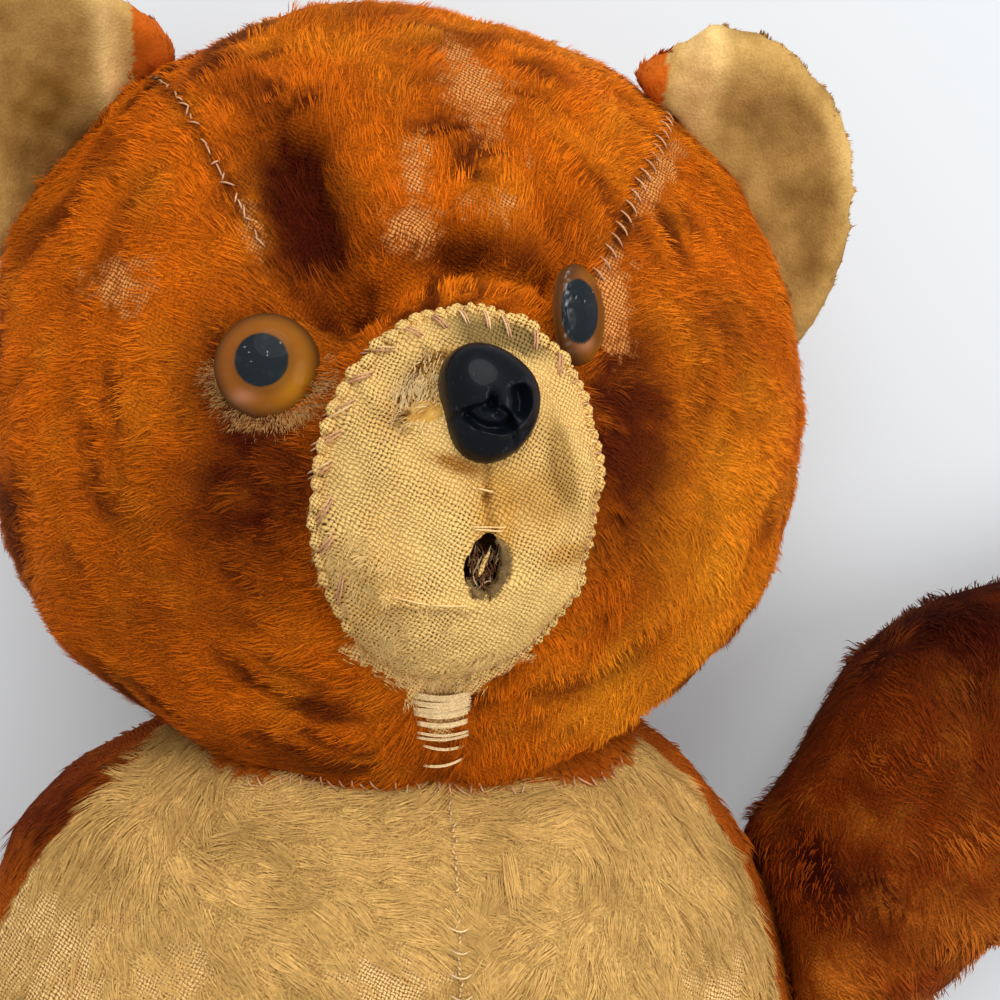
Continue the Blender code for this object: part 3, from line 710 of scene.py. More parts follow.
def makeHead():
    form, points, normals, lumps = stuffed(head)
    spots = inAxes(points, headAxes)
    depth = pressed(spots, head["folds"]) * limited(spots[:, 2] / 0.02)
    chin = np.exp(-(((spots[:, 1] + 0.084) / 0.014) ** 2) - ((spots[:, 2] - 0.035) / 0.018) ** 2)
    chin *= 0.0065 * np.exp(-((spots[:, 0] / 0.062) ** 4))
    belt = swelling(spots, head["swell"]) * limited(1.2 - (spots[:, 2] / 0.07) ** 2)
    outward = unit(spots * np.array([1.0, 1.0, 0.0]))
    points = points + turnedBy(outward, headAxes) * belt[:, None]
    writePoints(form, points + normals * (lumps - depth + chin)[:, None])
    cover = newPiece(form, "headCover", "rust_plush", plushCloth, head["nodes"])
    spots = inAxes(readPoints(form), headAxes)
    front = spots[:, 2] > 0.0
    # the cloth under the pile is painted a quarter darker than the pile, as shade at its roots
    tints = 0.75 * rustTints(spots, head, 5) * (1 - 0.7 * seamShare(spots))[:, None]
    # painted shade: the cloth under the muzzle is nearly black
    tints[(muzzleShare(spots) < 0.8) & front] = head["inside"]
    addTint(form, "pile", tints)
    chin, bald = chinShare(spots), sumOf(spots, head["bald"]) * front
    addTint(form, "bare", blended(np.array(head["bareTint"]), head["chinTint"], chin), np.maximum(chin, bald))
    return cover


def chinMiddle(y):
    return 0.0046 + (-0.0633 - y) * 0.18


def chinShare(spots):
    # 1 on the strip of muzzle cloth that runs down to the neck
    x, y = spots[:, 0], spots[:, 1]
    half = 0.0066 * limited((y + 0.079) / 0.011)
    half += 0.016 * limited((y + 0.068) / 0.012) ** 1.5
    return ((np.abs(x - chinMiddle(y)) < half) & (y < -0.0565) & (spots[:, 2] > 0.0)).astype(float)


def rippled(spots, along, across, seed):
    # how far each spot lies in a gap between the bands of pile, which runs out from the face
    far = np.hypot(spots[:, 0], spots[:, 1])
    turn = np.arctan2(spots[:, 1], spots[:, 0]) * 0.05
    bands = waves(np.column_stack([far / along, turn / across, spots[:, 2] / 0.02]), 1.0, seed)
    return np.clip(0.02 - bands, 0.0, 0.26) / 0.26


def rustTints(spots, look, seed):
    # a colour for each root: painted shade in the folds, in the dark patches and in the gaps between bands of
    # pile, painted light in the pale patches, and random blotches and mottling
    blotch = limited(0.5 + 0.9 * waves(spots, 0.016, seed))
    soft = limited((blotch - 0.45) / 0.25)
    patches = sumOf(spots, look["darkSpots"]) * (1 + 0.35 * waves(spots, 0.005, seed + 6))
    deep = limited(patches + 0.18 * soft)
    # painted shade in the gaps between bands of pile
    if "ripple" in look:
        along, across, darker = look["ripple"]
        patchy = np.clip(0.6 + 1.2 * waves(spots, 0.022, seed + 2), 0.15, 1.0)
        patchy *= np.clip((spots[:, 2] + 0.02) / 0.04, 0.3, 1.0)  # less of it round the back
        deep = np.maximum(deep, darker * patchy * rippled(spots, along, across, seed + 3))
    mottle = look.get("mottle", 0.0)
    # painted light in these patches, which also lessens the painted shade there
    paintedLight = sumOf(spots, look.get("paintedLightSpots", ()))
    deep *= 1 - 0.6 * limited(paintedLight)
    deep = limited(deep + mottle * limited(waves(spots, 0.01, seed + 5)))
    light = 0.5 * waves(spots, 0.012, seed + 1) + paintedLight + mottle * waves(spots, 0.007, seed + 4)
    tint = blended(np.array(look["colour"]), look["pale"], limited(light))
    return blended(tint, look["dark"], deep)


headPile = {
    "strands": 88000, "steps": 2, "length": 0.004, "height": 0.0009, "width": 0.00026,
    "perLock": 16, "lockStray": 6, "stray": 6, "curl": 0.1, "uneven": 0.2, "gather": 0.15,
    "roll": 9, "roundness": 0.22, "shade": 0.06, "rootShade": 0.6,
}


def wornThin(spots, bald, noisy, least):
    # how much of the pile is gone in the bald places
    return limited((sumOf(spots, bald) + 0.35 * noisy - least) / 0.3)


def makeHeadPile(cover):
    points = readPoints(cover.data)
    spots = inAxes(points, headAxes)
    away = muzzleShare(spots)
    front = spots[:, 2] > 0.0
    weights = np.where(spots[:, 2] > -0.01, 1.0, 0.16)
    weights *= np.where(front & (away < 0.93), 0.0, 1.0) * (1 + 0.8 * front * (away < 1.12))
    for x, y in eyeSpots:
        weights *= np.where(front & (np.hypot(spots[:, 0] - x, spots[:, 1] - y) < 0.0085), 0.0, 1.0)
    weights *= 1 - 0.93 * np.where(front, wornThin(spots, head["bald"], waves(points, 0.006, 7), 0.25), 0.0)
    weights *= (1 - chinShare(spots)) * (1 - 0.75 * seamShare(spots))
    roots, facing, spots = scattered(cover.data, headPile["strands"], weights, 3, headAxes)
    way = turnedBy(swirled(combed(spots, head["comb"]), spots, 24, 0.011, 6), headAxes)
    tints = rustTints(spots, head, 5) * (1 - 0.6 * seamShare(spots))[:, None]
    gusset = (np.abs(spots[:, 0]) < 0.033) & (spots[:, 1] > 0.0)
    right = ~gusset & (spots[:, 0] < 0.0)
    left = ~gusset & ~right
    for name, part in (("gussetPile", gusset), ("cheekPileRight", right), ("cheekPileLeft", left)):
        growPile(name, rust, roots[part], facing[part], way[part], headPile, tints[part], 11)


def panelOf(points, names):
    # which of these nodes is nearest to each point
    trees = [surfaceTree(nodes[name]) for name in names]
    away = [[tree.find_nearest(Vector(point))[3] for tree in trees] for point in points]
    return np.array(away).argmin(axis=1)


def surfaceTree(*pieces):
    verts, faces = [], []
    for piece in pieces:
        first = len(verts)
        verts += [vert.co.copy() for vert in piece.data.vertices]
        faces += [tuple(first + index for index in face.vertices) for face in piece.data.polygons]
    return BVHTree.FromPolygons(verts, faces)


headCover = makeHead()
makeHeadPile(headCover)
print("head made")


# Muzzle

muzzle = {
    "voxel": 0.0016,
    "light": (0.88, 0.57, 0.195),
    "shadow": (0.68, 0.39, 0.11),
    "hole": (0.09, 0.038, 0.01),
    # painted shade along the creases
    "creaseShade": (0.42, 0.32, 0.2),
    "scallops": 62,
    "pileLeft": (  # x, y, half sizes, degrees and amount of the pile that hasn't worn off
        (-0.022, -0.018, 0.009, 0.009, 0, 0.9), (-0.012, -0.032, 0.013, 0.007, 15, 0.9),
        (0.006, -0.037, 0.012, 0.005, 0, 0.8), (0.02, -0.028, 0.006, 0.006, 0, 0.5),
    ),
    "swell": (
        (150, 40, 0.0034), (180, 50, 0.003), (-130, 40, 0.003), (-80, 30, 0.002), (0, 60, 0.0),
        (90, 50, 0.0008), (95, 12, -0.008),
    ),
    # dirt and painted shade round the nose
    "dirtAndShade": (  # x, y, half sizes, degrees and the colour it leaves
        (0.005, 0.0295, 0.01, 0.003, -12, (0.3, 0.3, 0.29)),
        (0.017, 0.004, 0.0028, 0.009, 20, (0.56, 0.5, 0.42)),
        (0.013, -0.002, 0.005, 0.005, 20, (0.74, 0.66, 0.54)),
        (-0.004, 0.003, 0.0045, 0.0014, -15, (0.48, 0.34, 0.2)),
        (-0.011, 0.018, 0.0035, 0.008, -35, (0.62, 0.52, 0.4)),
        (0.004, -0.006, 0.004, 0.009, 0, (0.82, 0.7, 0.5)),
        (0.02, -0.013, 0.006, 0.002, 10, (0.8, 0.68, 0.52)),
    ),
    # the creases also get painted shade
    "creases": (  # start, end, reach and depth of dark creases
        ((-0.016, 0.0105), (-0.0143, 0.0148), 0.0011, 0.0012),
        ((-0.0143, 0.0148), (-0.0116, 0.0208), 0.0012, 0.002),
        ((-0.0116, 0.0208), (-0.007, 0.0245), 0.0012, 0.0022),
        ((-0.007, 0.0245), (-0.002, 0.0265), 0.0012, 0.0014),
        ((0.0012, 0.004), (0.0018, -0.003), 0.0008, 0.0012),
        ((0.0018, -0.003), (0.0032, -0.0095), 0.0008, 0.0014),
    ),
}
muzzleAxes = headAxes @ Matrix.Translation((0.004, -0.021, 0.062))


def makeMuzzle():
    form = subdivided(remeshed(("muzzle",), muzzle["voxel"], 3))
    points, normals = readPoints(form), readNormals(form)
    spots = inAxes(points, muzzleAxes)
    face = spots[:, :2]
    x, y = face.T
    share = muzzleShare(face + np.array(muzzleMiddle))
    angle = np.arctan2(y / muzzleHalf[1], x / muzzleHalf[0])
    push = 0.0007 * bell(share, 0.985, 0.06) * np.cos(angle * muzzle["scallops"])
    push += 0.0016 * waves(spots, 0.014, 4) + 0.0006 * waves(spots, 0.005, 5)
    push -= 0.003 * falloff(face, -0.0115, 0.0185, 0.004, 0.008, -32)  # where the nose used to sit
    seat = bell(np.hypot(x + 0.0115, y - 0.0185), 0.0085, 0.0012)
    push += 0.0012 * seat * ((x < -0.0115) | (y > 0.022))
    push += 0.0016 * bell(share, 0.86, 0.05) * (y > 0.0)
    push -= 0.0022 * bell(share, 0.72, 0.06) * (y > 0.012) * (x > -0.012)
    push += pressed(face, (((-0.015, -0.0228), (0.0, -0.024), 0.001, 0.0014),))
    push -= pressed(face, muzzle["creases"])
    front = limited(normals @ np.array(muzzleAxes)[:3, 2] * 4)
    outward = turnedBy(unit(spots * np.array([1.0, 1.0, 0.0])), muzzleAxes)
    swell = swelling(face, muzzle["swell"]) * limited(share * 2 - 1)
    writePoints(form, points + normals * (push * front)[:, None] + outward * swell[:, None])
    # dirt and painted shade round the nose, and painted shade along the creases
    stainAndShade = np.ones((len(points), 3))
    for *oval, colour in muzzle["dirtAndShade"]:
        stainAndShade *= blended(np.ones(3), colour, limited(1.8 * falloff(face, *oval)))
    creased = limited(pressed(face, muzzle["creases"]) / 0.0024)
    addTint(form, "stainAndShade", stainAndShade * blended(np.ones(3), muzzle["creaseShade"], creased))
    cloth = weaveMaterial(
        "wornMuzzleWeave", muzzle["light"], muzzle["shadow"], muzzle["hole"], muzzleAxes, "stainAndShade"
    )
    piece = newPiece(form, "muzzleCloth", "worn_muzzle_cloth", cloth, ("muzzle",))
    return piece


muzzleCloth = makeMuzzle()
print("muzzle made")


# Body

body = {
    "nodes": ("back", "chest_right", "chest_left", "body_stuffing"),
    "voxel": 0.0062,
    "lump": 0.002,
    "lumpSize": 0.035,
    "colour": (0.46, 0.095, 0.005),
    "dark": (0.12, 0.014, 0.001),
    "pale": (0.66, 0.18, 0.012),
    "cream": (0.69, 0.415, 0.128),
    "creamDark": (0.29, 0.155, 0.035),
    "bareTint": (0.8, 0.53, 0.21),
    "comb": (
        (-0.076, 0.103, 270), (-0.067, 0.107, 270), (-0.064, 0.092, 320), (-0.092, 0.087, 215),
        (-0.086, 0.1, 205), (-0.055, 0.098, 300), (-0.041, 0.107, 352), (-0.029, 0.1, 355),
        (-0.035, 0.09, 325), (-0.017, 0.088, 300), (-0.009, 0.11, 20), (-0.052, 0.121, 240),
        (-0.064, 0.12, 140), (-0.03, 0.118, 10), (0.023, 0.111, 0), (0.019, 0.1, 200),
        (0.031, 0.094, 150), (0.045, 0.11, 280), (0.035, 0.086, 265), (0.062, 0.094, 278),
        (0.074, 0.085, 285), (0.0, 0.1, 330), (-0.05, 0.0, 250), (0.05, 0.0, 290),
        (0.0, -0.05, 270), (-0.09, 0.03, 220), (0.09, 0.03, 300),
    ),
    # painted shade, the darkest at the bear's right shoulder
    "darkSpots": ((0.0, -0.06, 0.03, 0.03, 0, 0.2), (-0.095, 0.12, 0.03, 0.02, 0, 1.0)),
    "bulges": ((-0.104, 0.098, 0.026, (-0.0025, 0.005)),),
    "rightEdge": (
        (-0.105, -0.0952, -0.0902, -0.0811, -0.072, -0.0582, -0.05),
        (0.079, 0.0905, 0.0962, 0.108, 0.1173, 0.1288, 0.15),
    ),
    "bald": (
        (-0.084, 0.083, 0.016, 0.018, 0, 0.95), (-0.01, 0.082, 0.014, 0.008, 0, 0.8),
        (-0.056, 0.084, 0.012, 0.008, 0, 0.75), (0.07, 0.07, 0.014, 0.016, 0, 0.7),
    ),
}
bodyAxes = Matrix.Translation((-0.017, 0.002, 0.065)) @ Matrix.Rotation(math.radians(12), 4, "Y")


def creamTints(spots, look, seed):
    deep = 0.1 + 0.55 * waves(spots, 0.013, seed) + 0.3 * waves(spots, 0.0035, seed + 2)
    return blended(np.array(look["cream"]), look["creamDark"], np.clip(deep, 0.0, 0.7))


neckLine = (  # x, and the y of the neck seam there
    (-0.07, -0.056, -0.048, -0.035, -0.001, 0.0336, 0.0425, 0.06),
    (0.15, 0.1285, 0.1245, 0.1252, 0.1222, 0.1219, 0.127, 0.15),
)


def rustAbove(points):
    # true where the rust plush starts, over the neck seam and behind the shoulder seam
    spots = inAxes(points, bodyAxes)
    edge = np.interp(spots[:, 0], *body["rightEdge"]) + 0.002 * waves(points, 0.02, 28)
    shoulder = (spots[:, 1] > edge) & (spots[:, 0] < -0.045)
    return (points[:, 1] > np.interp(points[:, 0], *neckLine)) | shoulder


def makeUnit(name, look, panels, slot):
    # one stuffed unit; panels gives the nodes that its faces are matched to, each with its material
    form, points, normals, lumps = stuffed(look)
    points = points + normals * (lumps * limited(points[:, 2] / 0.01))[:, None]
    for x, y, reach, push in look.get("bulges", ()):
        near = np.exp(-(((points[:, 0] - x) ** 2 + (points[:, 1] - y) ** 2) / reach**2))
        side = limited((points[:, :2] - np.array([x, y])) @ unit(np.array([push]))[0] / 0.012 + 0.5)
        points[:, :2] += (near * side)[:, None] * np.array([push])
    points[:, 2] = np.maximum(points[:, 2], 0.0)
    writePoints(form, points)
    spots = inAxes(points, bodyAxes)
    tints, worn = rustTints(spots, look, 5), np.zeros(len(points))
    names = list(panels)
    if name == "bodyCover":
        chest = (panelOf(points, names) > 0) & ~rustAbove(points)
        tints[chest] = creamTints(spots[chest], body, 9)
        worn = sumOf(spots, body["bald"]) * chest
    # the cloth under the limbs' pile is painted darker than their pile, as shade at the pile's roots
    addTint(form, "pile", (1.0 if name == "bodyCover" else 0.75) * tints)
    addTint(form, "bare", np.tile(np.array([look.get("bareTint", look["pale"])]), (len(points), 1)), worn)
    for panel in names:
        form.materials.append(panels[panel])
    if len(names) > 1:
        middles = readRows(form.polygons, "center")
        form.polygons.foreach_set("material_index", panelOf(middles, names).astype(np.int32))
    piece = newPiece(form, name, slot, None, look["nodes"])
    return piece


chestPanels = ("back", "chest_right", "chest_left")
bodyCover = makeUnit("bodyCover", body, dict.fromkeys(chestPanels, plushCloth), "cream_plush")
chestPile = {
    "strands": 51000, "steps": 2, "length": 0.0078, "height": 0.0009, "width": 0.00027,
    "perLock": 24, "lockStray": 5, "stray": 6, "curl": 0.22, "uneven": 0.2, "gather": 0.36,
    "roll": 5, "roundness": 0.08, "shade": 0.04, "rootShade": 0.86,
}
neckPile = {**headPile, "strands": 8500, "length": 0.0036, "height": 0.001, "width": 0.00034}
backPile = {**headPile, "strands": 8000, "length": 0.006, "height": 0.001, "width": 0.001, "perLock": 12}


def within(points, axes, half, share):
    # true inside this share of an egg with these half sizes
    return np.linalg.norm(inAxes(points, axes) / half, axis=1) < share


def makeBodyPile(cover):
    points = readPoints(cover.data)
    spots = inAxes(points, bodyAxes)
    panel = panelOf(points, chestPanels)
    bare = within(points, headAxes, headHalf, 0.97)
    weights = np.where(panel > 0, np.where(spots[:, 1] > 0.055, 1.0, 0.22), 0.0) * ~bare * ~rustAbove(points)
    weights *= 1 - 0.85 * wornThin(spots, body["bald"], waves(points, 0.007, 29), 0.3)
    roots, facing, spots = scattered(cover.data, chestPile["strands"], weights, 21, bodyAxes)
    way = turnedBy(swirled(combed(spots, body["comb"], 0.008), spots, 42, 0.016, 8), bodyAxes)
    tints = creamTints(spots, body, 9)
    right = spots[:, 0] < 0.006
    for name, part in (("chestPileRight", right), ("chestPileLeft", ~right)):
        growPile(name, cream, roots[part], facing[part], way[part], chestPile, tints[part], 22)

    weights = (panel > 0) * rustAbove(points - np.array([0.0, 0.0022, 0.0])) * ~bare * 1.0
    roots, facing, spots = scattered(cover.data, neckPile["strands"], weights, 25, bodyAxes)
    way = np.where(spots[:, :1] < 0.0, np.array([-0.8, -0.7, 0.0]), np.array([0.5, -0.7, 0.0]))
    tints = rustTints(spots, body, 26)
    growPile("neckPile", rust, roots, facing, way, neckPile, tints, 27)

    weights = (panel == 0) * np.where(points[:, 2] > 0.004, 1.0, 0.0) * ~bare
    roots, facing, spots = scattered(cover.data, backPile["strands"], weights, 23, bodyAxes)
    way = np.array([0.0, -1.0, -0.3]) + 0.5 * facing
    tints = rustTints(spots, body, 12)
    growPile("backPile", rust, roots, facing, way, backPile, tints, 24)


makeBodyPile(bodyCover)
print("body made")


# Arms and legs

limbs = {
    "voxel": 0.0065,
    "lump": 0.0026,
    "lumpSize": 0.03,
    "colour": (0.27, 0.042, 0.002),
    "dark": (0.055, 0.005, 0.0005),
    "pale": (0.7, 0.19, 0.016),
    # painted shade on the top of the arm
    "darkSpots": (
        (0.125, 0.168, 0.05, 0.028, -20, 1.1), (0.088, 0.128, 0.012, 0.02, 0, 0.6),
        (0.103, 0.093, 0.008, 0.013, 20, 0.9), (0.128, 0.12, 0.01, 0.006, 0, 0.5),
    ),
    # painted highlights low on the arm
    "paintedLightSpots": (
        (0.132, 0.08, 0.016, 0.016, 20, 0.6), (0.1, 0.066, 0.02, 0.01, 0, 0.6),
        (0.12, 0.104, 0.012, 0.006, 0, 0.5),
    ),
    "mottle": 0.45,
    "bulges": {  # x, y and reach of a bulge, and how far it pushes in x and y
        "arm_left": ((0.126, 0.132, 0.04, (-0.0095, 0.011)), (0.08, 0.094, 0.013, (-0.0115, 0.0055))),
        "arm_right": ((-0.12, 0.092, 0.032, (0.0, 0.011)),),
    },
}
limbPile = {**headPile, "length": 0.0046, "height": 0.0013, "width": 0.00036, "perLock": 18, "lockStray": 13}


def makeLimb(name, pad, strands, seed):
    look = {**limbs, "nodes": (name, pad, name + "_stuffing"), "bulges": limbs["bulges"].get(name, ())}
    title = name.title().replace("_", "")
    cover = makeUnit(f"cover{title}", look, {name: plushCloth, pad: tanFelt}, "dark_rust_plush")
    points = readPoints(cover.data)
    bare = within(points, bodyAxes, bodyHalf, 0.95)
    weights = (panelOf(points, (name, pad)) == 0) * np.where(points[:, 2] > 0.004, 1.0, 0.0) * ~bare
    look = limbPile if strands > 20000 else {**limbPile, "width": 0.001, "length": 0.0068}
    roots, facing = scattered(cover.data, strands, weights, seed)[:2]
    turn = math.radians(-60 if roots[:, 0].mean() > 0 else -120) + np.radians(60) * waves(roots, 0.03, seed)
    way = np.column_stack([np.cos(turn), np.sin(turn), np.full(len(roots), -0.2)])
    tints = rustTints(roots, limbs, seed)
    growPile(f"pile{title}", darkRust, roots, facing, way, look, tints, seed + 1)


makeLimb("arm_left", "paw_pad_left", 26000, 31)
makeLimb("arm_right", "paw_pad_right", 5000, 33)
makeLimb("leg_left", "sole_pad_left", 5000, 35)
makeLimb("leg_right", "sole_pad_right", 5000, 37)
print("limbs made")


# Ears

ears = {
    "voxel": 0.0022,
    "cream": (0.58, 0.345, 0.105),
    "creamDark": (0.18, 0.08, 0.012),
    "colour": (0.6, 0.12, 0.008),
    "dark": (0.14, 0.016, 0.002),
    "pale": (0.8, 0.25, 0.03),
    "darkSpots": (),
    # painted shade in the hollows
    "hollowShade": (  # x, y, half sizes, degrees and amount, in the head's axes
        (0.0885, 0.053, 0.008, 0.006, 0, 0.62), (0.0935, 0.036, 0.006, 0.008, 0, 0.66),
        (0.08, 0.062, 0.012, 0.011, 0, 0.34), (-0.088, 0.06, 0.016, 0.01, 60, 0.95),
        (-0.094, 0.078, 0.01, 0.008, 0, 0.5), (0.083, 0.045, 0.01, 0.01, 0, 0.3),
        (0.072, 0.048, 0.004, 0.012, -35, 0.4),
    ),
    # painted light on the folds
    "folds": (  # the same for the pale folds
        (0.0625, 0.083, 0.0048, 0.02, 0, 1.0), (-0.0735, 0.068, 0.0032, 0.02, 8, 1.0),
        (0.1, 0.06, 0.004, 0.014, 20, 0.5), (-0.084, 0.03, 0.006, 0.008, 30, 0.7),
    ),
    "foldLight": (1.0, 0.68, 0.27),
}
earPile = {
    **headPile, "length": 0.0018, "height": 0.0003, "width": 0.00026, "lockStray": 12, "shade": 0.02,
    "rootShade": 0.9, "roundness": 0.1,
}


def earTints(spots, seed):
    # painted light on the rim and folds, painted shade in the hollows
    deep = sumOf(spots, ears["hollowShade"]) * (1 + 0.5 * waves(spots, 0.006, seed))
    tints = blended(creamTints(spots, ears, seed + 7), ears["creamDark"], limited(deep))
    return blended(tints, ears["foldLight"], sumOf(spots, ears["folds"]))


def earBacks(side, spots, normals):
    # the rust cloth is on the back, and on the bear's right ear it rolls round to the front beside the head
    back = normals[:, 2] < -0.6
    if side == "right":
        back |= spots[:, 0] > -0.069 + 0.001 * waves(spots, 0.008, 55)
    else:
        back |= (spots[:, 0] < 0.0555 + 0.001 * waves(spots, 0.008, 56)) & (spots[:, 1] > 0.068)
    return back


def velvetMaterial():
    material, tree, place = newMaterial(
        "earVelvet", rough=0.9, specular=0.05, sheen=0.1, sheenTint=(1.0, 0.75, 0.4, 1.0)
    )
    nap = plus(tree, noiseAt(tree, place, 1600.0, 2.0), noiseAt(tree, place, 220.0))
    tint = grained(tree, layerAt(tree, "pile"), nap, 0.75, 1.25, (0.8, 0.76, 0.7), (1.08, 1.08, 1.08))
    return finished(material, tint, nap)


velvet = velvetMaterial()


def makeEar(side, strands, seed, stretch, shift):
    # stretch and shift are how the old ear has pulled out of shape, in x and y
    title = f"ear{side.title()}"
    names = (f"ear_lining_{side}", f"ear_back_{side}")
    form = subdivided(remeshed(names, ears["voxel"], 6))
    points, normals = readPoints(form), readNormals(form)
    ownNormals = turnedBy(normals, headInverse)
    push = 0.002 * waves(points, 0.018, seed) + 0.0004 * waves(points, 0.007, seed + 1)
    push += sumOf(inAxes(points, headAxes), ears["folds"]) * 0.0022 * (ownNormals[:, 2] > 0.0)
    points = points + normals * push[:, None]
    middle = points[:, :2].mean(axis=0)
    points[:, :2] = middle + (points[:, :2] - middle) * np.array(stretch) + np.array(shift)
    writePoints(form, points)
    spots = inAxes(points, headAxes)
    panel = earBacks(side, spots, ownNormals)
    addTint(form, "pile", 0.9 * np.where(panel[:, None], rustTints(points, ears, 5), earTints(spots, seed)))
    cover = newPiece(form, title, "cream_plush", velvet, names)
    middle = points.mean(axis=0)
    weights = ~within(points, headAxes, headHalf, 0.96) * np.where(np.abs(ownNormals[:, 2]) < 0.6, 1.0, 0.35)
    for part, name, kind in ((0, "LiningPile", cream), (1, "BackPile", rust)):
        count = strands if part == 0 else strands // 5
        chosen = (panel == part) * weights + 1e-6
        roots, facing, spots = scattered(cover.data, count, chosen, seed + 3 + part, headAxes)
        outward = unit(roots - middle + np.array(headAxes.translation - Vector(middle)) * -0.4)
        turn = np.radians(35) * waves(roots, 0.02, seed + 6)
        way = leaned(outward, np.cross(facing, outward), turn[:, None])
        tints = earTints(spots, seed) if part == 0 else rustTints(spots, ears, seed + 7)
        look = earPile if part == 0 else {**earPile, "length": 0.0028, "height": 0.0005, "width": 0.0008}
        growPile(title + name, kind, roots, facing, way, look, tints, seed + 8)


makeEar("left", 7500, 41, (0.94, 1.27), (0.0014, -0.0032))
makeEar("right", 5000, 51, (1.0, 1.0), (-0.0018, 0.001))
print("ears made")


# Eyes: amber domes with a painted pupil, worn dull

eyes = {
    "radius": 0.0107,
    "height": 0.0056,
    "slate": (0.009, 0.013, 0.016),
    "amber": (0.235, 0.082, 0.002),
    "amberWarm": (0.21, 0.06, 0.008),
    "amberDeep": (0.075, 0.026, 0.005),
    # the next two are a painted gold glint and a painted pinkish highlight, low on the eye
    "glintGold": (0.4, 0.155, 0.004),
    "paintedGlow": (0.6, 0.27, 0.15),
    "specks": 9,
    "ringTint": (0.52, 0.26, 0.085),
    "ringPile": {
        **headPile, "strands": 3600, "length": 0.0016, "height": 0.0008, "width": 0.00013, "perLock": 2,
        "stray": 16,
    },
}
eyeFacings = (  # side, the way it looks, the pupil's place and half sizes, and how far the eye has slipped
    ("right", (-0.18, 0.02, 1.0), (-0.0005, 0.0009, 0.0055, 0.0055), (0.0008, -0.0026, 0.0)),
    ("left", (1.3, 0.1, 0.75), (-0.0002, 0.0002, 0.0041, 0.0068), (0.0006, -0.0004, 0.0)),
)


def domeMesh(name, rings, segments, place):
    # rings from the top down to an underside; place gives the point for a ring share and an angle
    verts = [place(0.0, 0.0)]
    for ring in range(1, rings + 1):
        for step in range(segments):
            verts.append(place(ring / rings, 2 * math.pi * step / segments))
    faces = [(0, 1 + step, 1 + (step + 1) % segments) for step in range(segments)]
    for ring in range(rings - 1):
        a, b = 1 + ring * segments, 1 + (ring + 1) * segments
        for step in range(segments):
            after = (step + 1) % segments
            faces.append((a + step, b + step, b + after, a + after))
    faces.append(tuple(1 + (rings - 1) * segments + step for step in reversed(range(segments))))
    return listedMesh(name, verts, faces)


def facingOut(axes, facing):
    # unit vectors across, up and out for something that faces this way in these axes
    out = (axes.to_3x3() @ Vector(facing)).normalized()
    across = Vector((0.0, 1.0, 0.0)).cross(out).normalized()
    return across, out.cross(across), out


def eyeMaterial():
    material, tree, place = newMaterial("amberEye", coat=0.07, coatRough=0.05, specular=0.06)
    dust = ramp(tree, noiseAt(tree, place, 420.0, 5.0), 0.55, 0.75)
    dusty = mixColour(tree, times(tree, dust, 0.015), layerAt(tree, "tint"), (0.75, 0.7, 0.62))
    return finished(material, dusty, rough=ramp(tree, noiseAt(tree, place, 260.0), -0.6, 1.2))


def eyeTints(points, across, up, out, pupil, scratched):
    # amber with a darker edge and a warm side, a painted gold glint and a painted pinkish highlight, then the
    # pupil with its scratches and chips
    u, v = (points @ np.array(way) / eyes["radius"] for way in (across, up))
    ring = np.hypot(u, v)
    warm = limited(0.5 - 0.55 * u + 0.25 * waves(points, 0.004, 62))
    colour = blended(np.array(eyes["amber"]), eyes["amberWarm"], warm)
    # painted gold glint low on the right, painted pinkish highlight low on the left
    paintedGlint = 0.6 * np.exp(-(((u - 0.5) / 0.32) ** 2) - ((v + 0.4) / 0.36) ** 2)
    colour = blended(colour, eyes["glintGold"], paintedGlint)
    colour = blended(colour, eyes["amberDeep"], 0.9 * limited((ring - 0.76) / 0.2) ** 1.5)
    colour = blended(colour, eyes["amberDeep"], 0.45 * limited((0.66 - ring) / 0.15))
    paintedGlow = np.exp(-(((u + 0.42) / 0.24) ** 2) - ((v + 0.6) / 0.13) ** 2)
    colour = blended(colour, eyes["paintedGlow"], 0.35 * paintedGlow)
    flat = points[:, :2] - (points[:, :2].min(axis=0) + points[:, :2].max(axis=0)) / 2
    x, y = (flat[:, 0] - pupil[0]) / pupil[2], (flat[:, 1] - pupil[1]) / pupil[3]
    top = points @ np.array(out) > 0.0005
    away = np.hypot(x, y) + 0.02 * waves(points, 0.0012, 63)
    colour = blended(colour, eyes["slate"], limited((1.0 - away) / 0.05) * top)
    dusty = limited(waves(points, 0.0008, 64) + 0.5 * waves(points, 0.0003, 65) - 0.1)
    dusty = (dusty * bell(x, -0.75, 0.25) * scratched)[:, None]
    colour = colour * (1 - 0.7 * dusty) + 0.4 * dusty * top[:, None]
    rng = np.random.default_rng(61)
    for speck in range(eyes["specks"]):
        left, low = rng.uniform(-0.7, 0.7, 2)
        colour = blended(colour, (0.45, 0.45, 0.45), ((np.hypot(x - left, y - low) < 0.022) & top) * 0.5)
    return colour


